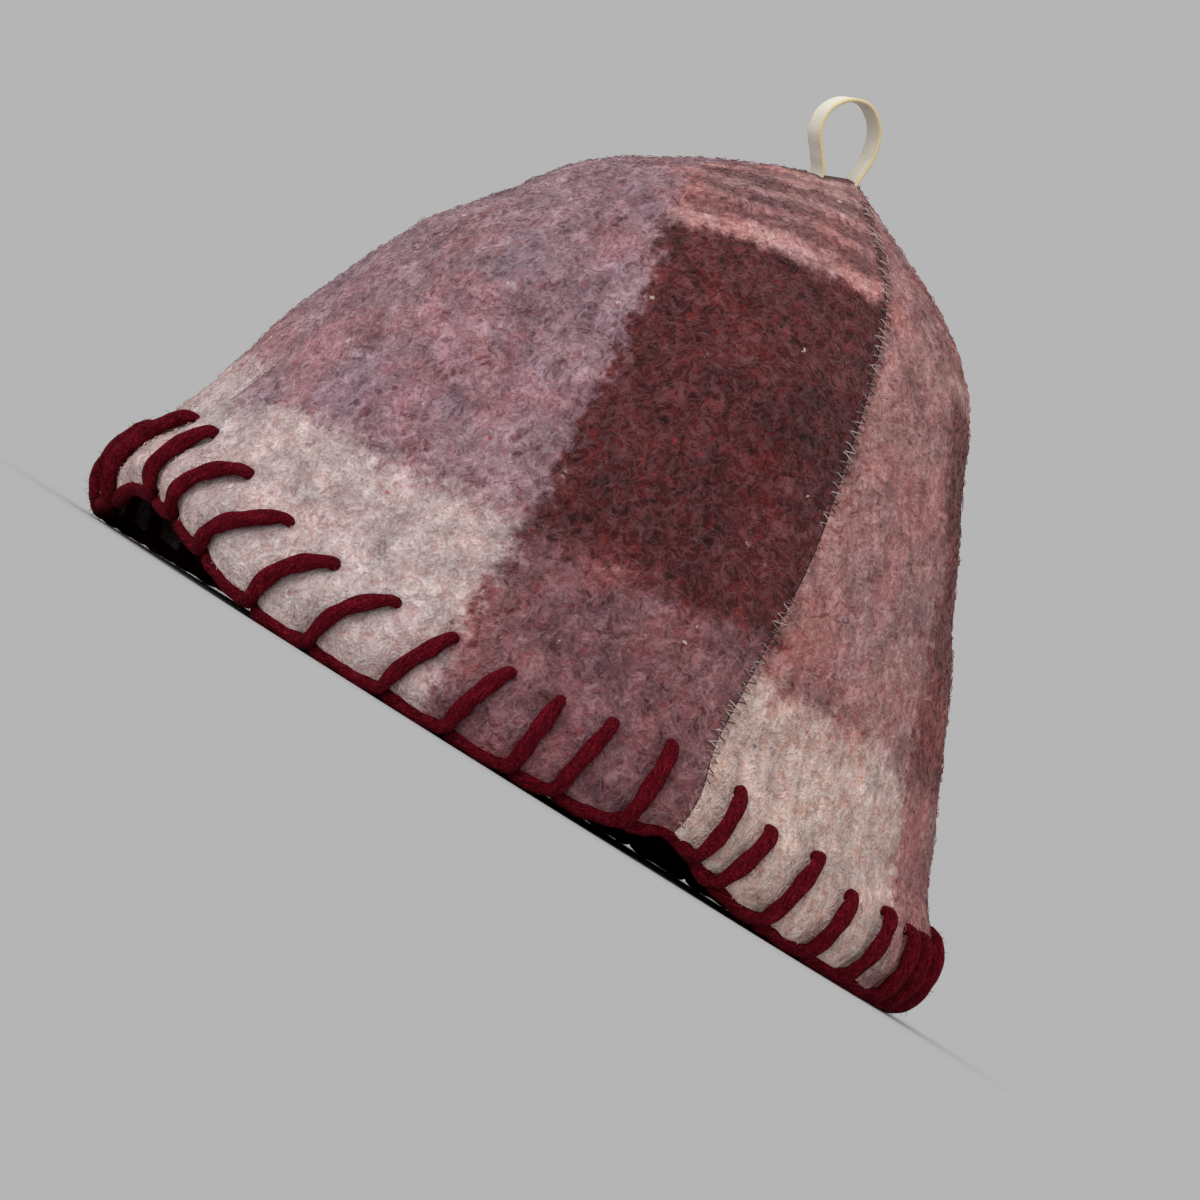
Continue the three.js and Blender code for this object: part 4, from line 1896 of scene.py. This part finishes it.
@dataclass
class SeamStitching:
    """Fine zigzag stitches across each sewn seam.

    Attributes:
        bell: the form that they follow.
        finish: what they are made of.
        pitch: distance from stitch to stitch.
        reach: how far a stitch goes to each side of the seam.
        spread: how much that differs from stitch to stitch, as a share.
        swing: how far a stitch leans up or down, as a share of the pitch.
        thickness: thickness of the thread.
        start: distance of the first stitch from the brim.
        crown_gap: distance of the last stitch from the crown.
        samples: points at which the seam's length is measured.
    """

    bell: Bell
    finish: ThreadFinish
    pitch: float = 1.8
    reach: float = 2.2
    spread: float = 0.15
    swing: float = 0.45
    thickness: float = 0.46
    start: float = 5.0
    crown_gap: float = 14.0
    samples: int = 600

    def places(self, seam: Seam) -> tuple[np.ndarray, np.ndarray]:
        """Where the stitches of a seam lie, evenly along the felt.

        Args:
            seam: the seam.

        Returns:
            Their heights from 0 to 1, and the bell's radius there.
        """
        heights = np.linspace(0, 1, self.samples)
        along = run_length(self.bell.point(seam.angle, heights))
        even = np.arange(self.start, along[-1] - self.crown_gap, self.pitch)
        found = np.interp(even, along, heights)
        return found, np.hypot(*self.bell.point(seam.angle, found)[:, :2].T)

    def build(self) -> bpy.types.Object:
        """All the stitches as one mesh.

        Returns:
            The piece.
        """
        rng = np.random.default_rng(53)
        lines, outs, tones = [], [], []
        for seam, look in zip(SEAMS, SEAM_LOOKS):
            if look is not SeamLook.SEWN:
                continue
            heights, radius = self.places(seam)
            degrees = np.degrees(1.0 / radius)
            step = np.gradient(heights)
            swing = np.where(np.arange(len(heights)) % 2 == 0, 1.0, -1.0)
            centres = []
            for across, off in ZIGZAG:
                wide = self.reach * (1 + self.spread * rng.normal(size=len(heights)))
                angle = seam.angle + across * wide * degrees
                height = heights + swing * across * step * self.swing
                place = self.bell.point(angle, height)
                centres.append(place + self.bell.outward(angle, height) * off)
            lines.append(np.stack(centres, 1))
            outs.append(self.bell.outward(seam.angle, heights))
            tones.append(rng.random(len(heights)))
        centres = np.concatenate(lines)
        radii = np.full(len(ZIGZAG) - 1, self.thickness / 2)
        points, faces = bundle(centres, radii, np.concatenate(outs), sides=4)
        tone = np.repeat(np.concatenate(tones), len(points) // len(centres))
        piece = join_strands("seam_threads", points, faces, np.zeros((len(points), 2)), tone)
        piece.data.materials.append(self.finish.material())
        return piece

    def fit(self) -> None:
        """Builds the stitches and fits them to the frame."""
        piece = self.build()
        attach(piece, "root")
        LOG.info("%s: %d faces", piece.name, len(piece.data.polygons))


# ------------------------------------------------------------------ hanging loop


@dataclass
class HangingLoop:
    """The tape at the crown: a flat band with soft edges, bent into a loop.

    Attributes:
        finish: what it is made of.
        width: width of the tape.
        thickness: thickness of the tape.
        angle: angle of the side that it bends to.
        steps: parts along it.
        samples: points at which its line is measured.
        sides: parts round its section.
        edge_power: how square its edges are; smaller is squarer.
        face_power: how flat its faces are; smaller is flatter.
        selvedge: how much thicker it is along its edges, as a share.
        selvedge_from: distance from the edge at which it starts to thicken.
        selvedge_to: distance from the edge at which it is thickest.
        wave: how far it wanders sideways.
        wave_length: length of tape over which the wander turns by one radian.
        length: length of the tape, once it is built.
    """

    finish: TapeFinish
    width: float = 10.0
    thickness: float = 1.3
    angle: float = -65.4
    steps: int = 120
    samples: int = 400
    sides: int = 32
    edge_power: float = 0.45
    face_power: float = 0.6
    selvedge: float = 0.25
    selvedge_from: float = 1.4
    selvedge_to: float = 0.6
    wave: float = 0.25
    wave_length: float = 9.0
    length: float = field(init=False)

    def section(self) -> tuple[np.ndarray, np.ndarray]:
        """Section of the tape.

        Returns:
            Places across it and out of its face.
        """
        turn = np.linspace(0, 2 * np.pi, self.sides + 1)
        half_width, half = self.width / 2, self.thickness / 2
        across = half_width * np.sign(np.cos(turn)) * np.abs(np.cos(turn)) ** self.edge_power
        deep = half * np.sign(np.sin(turn)) * np.abs(np.sin(turn)) ** self.face_power
        start, end = half_width - self.selvedge_from, half_width - self.selvedge_to
        return across, deep * (1 + self.selvedge * smoothstep(np.abs(across), start, end))

    def build(self) -> bpy.types.Object:
        """The bent band, with a rounded section and its ends closed inside the felt.

        Returns:
            The piece.
        """
        line = smooth_line(np.array(LOOP_LINE, float), np.linspace(0, 1, self.samples))
        along = run_length(line)
        even = np.linspace(0, along[-1], self.steps + 1)
        line = np.stack([np.interp(even, along, line[:, k]) for k in range(2)], 1)
        tangent = unit(np.gradient(line, axis=0))
        normal = np.stack([-tangent[:, 1], tangent[:, 0]], 1)
        across, deep = self.section()
        radians = math.radians(self.angle)
        out = np.array([math.cos(radians), math.sin(radians), 0.0])
        up = np.array([0.0, 0.0, 1.0])
        side = np.cross(out, up)
        wave = self.wave * np.sin(even / self.wave_length)
        flat = line[:, None] + normal[:, None] * deep[None, :, None]
        places = flat[..., :1] * out + flat[..., 1:] * up
        places = places + (across[None, :, None] + wave[:, None, None]) * side
        middle = np.repeat(places.mean(1, keepdims=True), self.sides + 1, 1)
        capped = np.concatenate([middle[:1], places, middle[-1:]], 0)
        span = np.concatenate([[0.0], even, [even[-1]]])
        cloth = np.stack(np.broadcast_arrays(span[:, None], across[None]), -1) * MM
        piece = shape_grid("loop_tape", capped, cloth)
        piece.data.materials.append(self.finish.material())
        self.length = float(even[-1])
        LOG.info("tape length %.1f mm", self.length)
        return piece

    def fit(self) -> None:
        """Builds the loop and fits it to the frame."""
        piece = self.build()
        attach(piece, "root")
        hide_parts("hanging_loop")
        LOG.info("%s: %d faces", piece.name, len(piece.data.polygons))


# ------------------------------------------------------------------ studio


class SoftLight(NamedTuple):
    """A far light: its strength, and its height, side and width in degrees."""

    name: str
    strength: float
    height: float
    side: float
    width: float


@dataclass(frozen=True)
class Studio:
    """Pale ground that runs into a pale backdrop, two soft lights and the camera.

    Attributes:
        target: what the camera looks at, in metres, as are the next sizes.
        backdrop: tone of the backdrop.
        sky: strength of the light from all round.
        lights: the far lights.
        rings: radii of the ground's rings of points.
        fade: distances from the hat between which the ground turns into the backdrop.
        graze: how grazing the look has to be for that, from its start to its end, 0 to 1.
        distance: distance of the camera.
        camera_height: height of the camera above the ground.
        roll: roll of the camera in degrees, which tilts the hat.
        lens: length of the lens in millimetres.
        sensor: width of the sensor in millimetres.
    """

    target: Vector
    backdrop: float = 0.46
    sky: float = 0.62
    lights: tuple[SoftLight, ...] = (
        SoftLight("key_light", 1.35, 40.0, -42.0, 60.0),
        SoftLight("fill_light", 0.45, 11.0, -8.0, 20.0),
    )
    rings: tuple[float, ...] = (0.0, 0.3, 1.0, 3.0, 10.0, 60.0)
    fade: tuple[float, float] = (0.13, 0.24)
    graze: tuple[float, float] = (0.94, 0.985)
    distance: float = 1.3
    camera_height: float = 0.015
    roll: float = 32.08
    lens: float = 117.0
    sensor: float = 36.0

    def build_ground(self) -> None:
        """A wide pale disc, as bright under the lights as the backdrop behind it."""
        turn = np.linspace(0, 2 * np.pi, 97)
        reach = np.array(self.rings)[:, None] / MM
        places = np.stack([reach * np.cos(turn), reach * np.sin(turn), reach * 0 * turn], -1)
        ground = shape_grid("ground", places, places[..., :2] * MM)
        material, board, shader = new_material("pale_ground")
        falling = sum(
            light.strength * math.sin(math.radians(light.height)) for light in self.lights
        )
        board.feed(shader, {
            "Base Color": grey(self.backdrop / (self.sky + falling / math.pi)),
            "Roughness": 1.0, "Specular IOR Level": 0.0,
        })
        self.fade_out(material, board, shader)
        ground.data.materials.append(material)

    def fade_out(
        self, material: bpy.types.Material, board: Board, shader: bpy.types.Node
    ) -> None:
        """Lets the ground run into the backdrop's tone beyond the hat, at a grazing look.

        Args:
            material: the ground's material.
            board: where its nodes go.
            shader: the shader of the plain ground.
        """
        glow = board.add("Emission", {"Color": grey(self.backdrop), "Strength": 1.0})
        place = board.add("TexCoord").outputs["Object"]
        away = board.add("VectorMath", {0: place}, operation="LENGTH").outputs["Value"]
        facing = board.add("LayerWeight", {"Blend": 0.5}).outputs["Facing"]
        far, grazed = board.fade(away, *self.fade), board.fade(facing, *self.graze)
        share = board.math("MULTIPLY", far, grazed)
        mixed = board.add("MixShader", {0: share, 1: shader.outputs[0], 2: glow.outputs[0]})
        board.feed(material.node_tree.nodes["Material Output"], {"Surface": mixed.outputs[0]})

    def add_light(self, soft: SoftLight) -> None:
        """Adds one far, soft light.

        Args:
            soft: where it stands, how strong it is and how wide.
        """
        bpy.ops.object.light_add(type="SUN")
        light = bpy.context.active_object
        light.name = soft.name
        light.data.energy = soft.strength
        light.data.angle = math.radians(soft.width)
        height, side = math.radians(soft.height), math.radians(soft.side)
        toward = Vector((math.cos(height) * math.cos(side), math.cos(height) * math.sin(side),
                         math.sin(height)))
        light.rotation_euler = (-toward).to_track_quat("-Z", "Y").to_euler()

    def add_camera(self) -> None:
        """Adds the camera: low at the hat's side and rolled with the hat's tilt."""
        rise = math.asin((self.target.z - self.camera_height) / self.distance)
        forward = Vector((-math.cos(rise), 0.0, math.sin(rise)))
        level = Vector((0.0, 1.0, 0.0))
        upright = level.cross(forward)
        turn = math.radians(self.roll)
        right = level * math.cos(turn) + upright * math.sin(turn)
        up = upright * math.cos(turn) - level * math.sin(turn)
        bpy.ops.object.camera_add()
        camera = bpy.context.active_object
        axes = Matrix((right, up, -forward)).transposed().to_4x4()
        camera.matrix_world = Matrix.Translation(self.target - forward * self.distance) @ axes
        camera.data.lens = self.lens
        camera.data.sensor_width = self.sensor
        bpy.context.scene.camera = camera

    def add_sky(self) -> None:
        """Adds the light from all round, which the camera sees as the backdrop's tone."""
        world = bpy.data.worlds.new("soft_sky")
        world.use_nodes = True
        board = Board(world.node_tree)
        seen = board.add("LightPath").outputs["Is Camera Ray"]
        change = board.math("MULTIPLY", seen, self.backdrop - self.sky)
        strength = board.math("ADD", change, self.sky)
        board.feed(world.node_tree.nodes["Background"], {"Color": grey(1.0), "Strength": strength})
        bpy.context.scene.world = world
        bpy.context.scene.view_settings.view_transform = "Standard"

    def build(self) -> None:
        """Builds the ground, the lights, the sky and the camera."""
        self.build_ground()
        for soft in self.lights:
            self.add_light(soft)
        self.add_sky()
        self.add_camera()


# ------------------------------------------------------------------ the hat


def main() -> None:
    """Builds the hat's pieces in order, then the studio."""
    logging.basicConfig(level=logging.INFO, format="%(name)s: %(message)s")
    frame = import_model()
    LOG.info("solids: %s", ", ".join(sorted(frame["nodes"])))
    bell = Bell()
    plaid, wool = plaid_group(), wool_group()
    for seed, plan in enumerate(GORES, start=FIRST_SEED):
        finish = felt_finish("plaid_" + plan.piece, plan.warmth, plaid, wool)
        FeltGore(plan, finish, bell, seed).fit()
    BlanketStitch(bell, YarnFinish(wool)).fit()
    SeamStitching(bell, ThreadFinish()).fit()
    HangingLoop(TapeFinish()).fit()
    Studio(target=Vector((0.0, 0.0028, 0.066))).build()


if __name__ == "__main__":
    main()
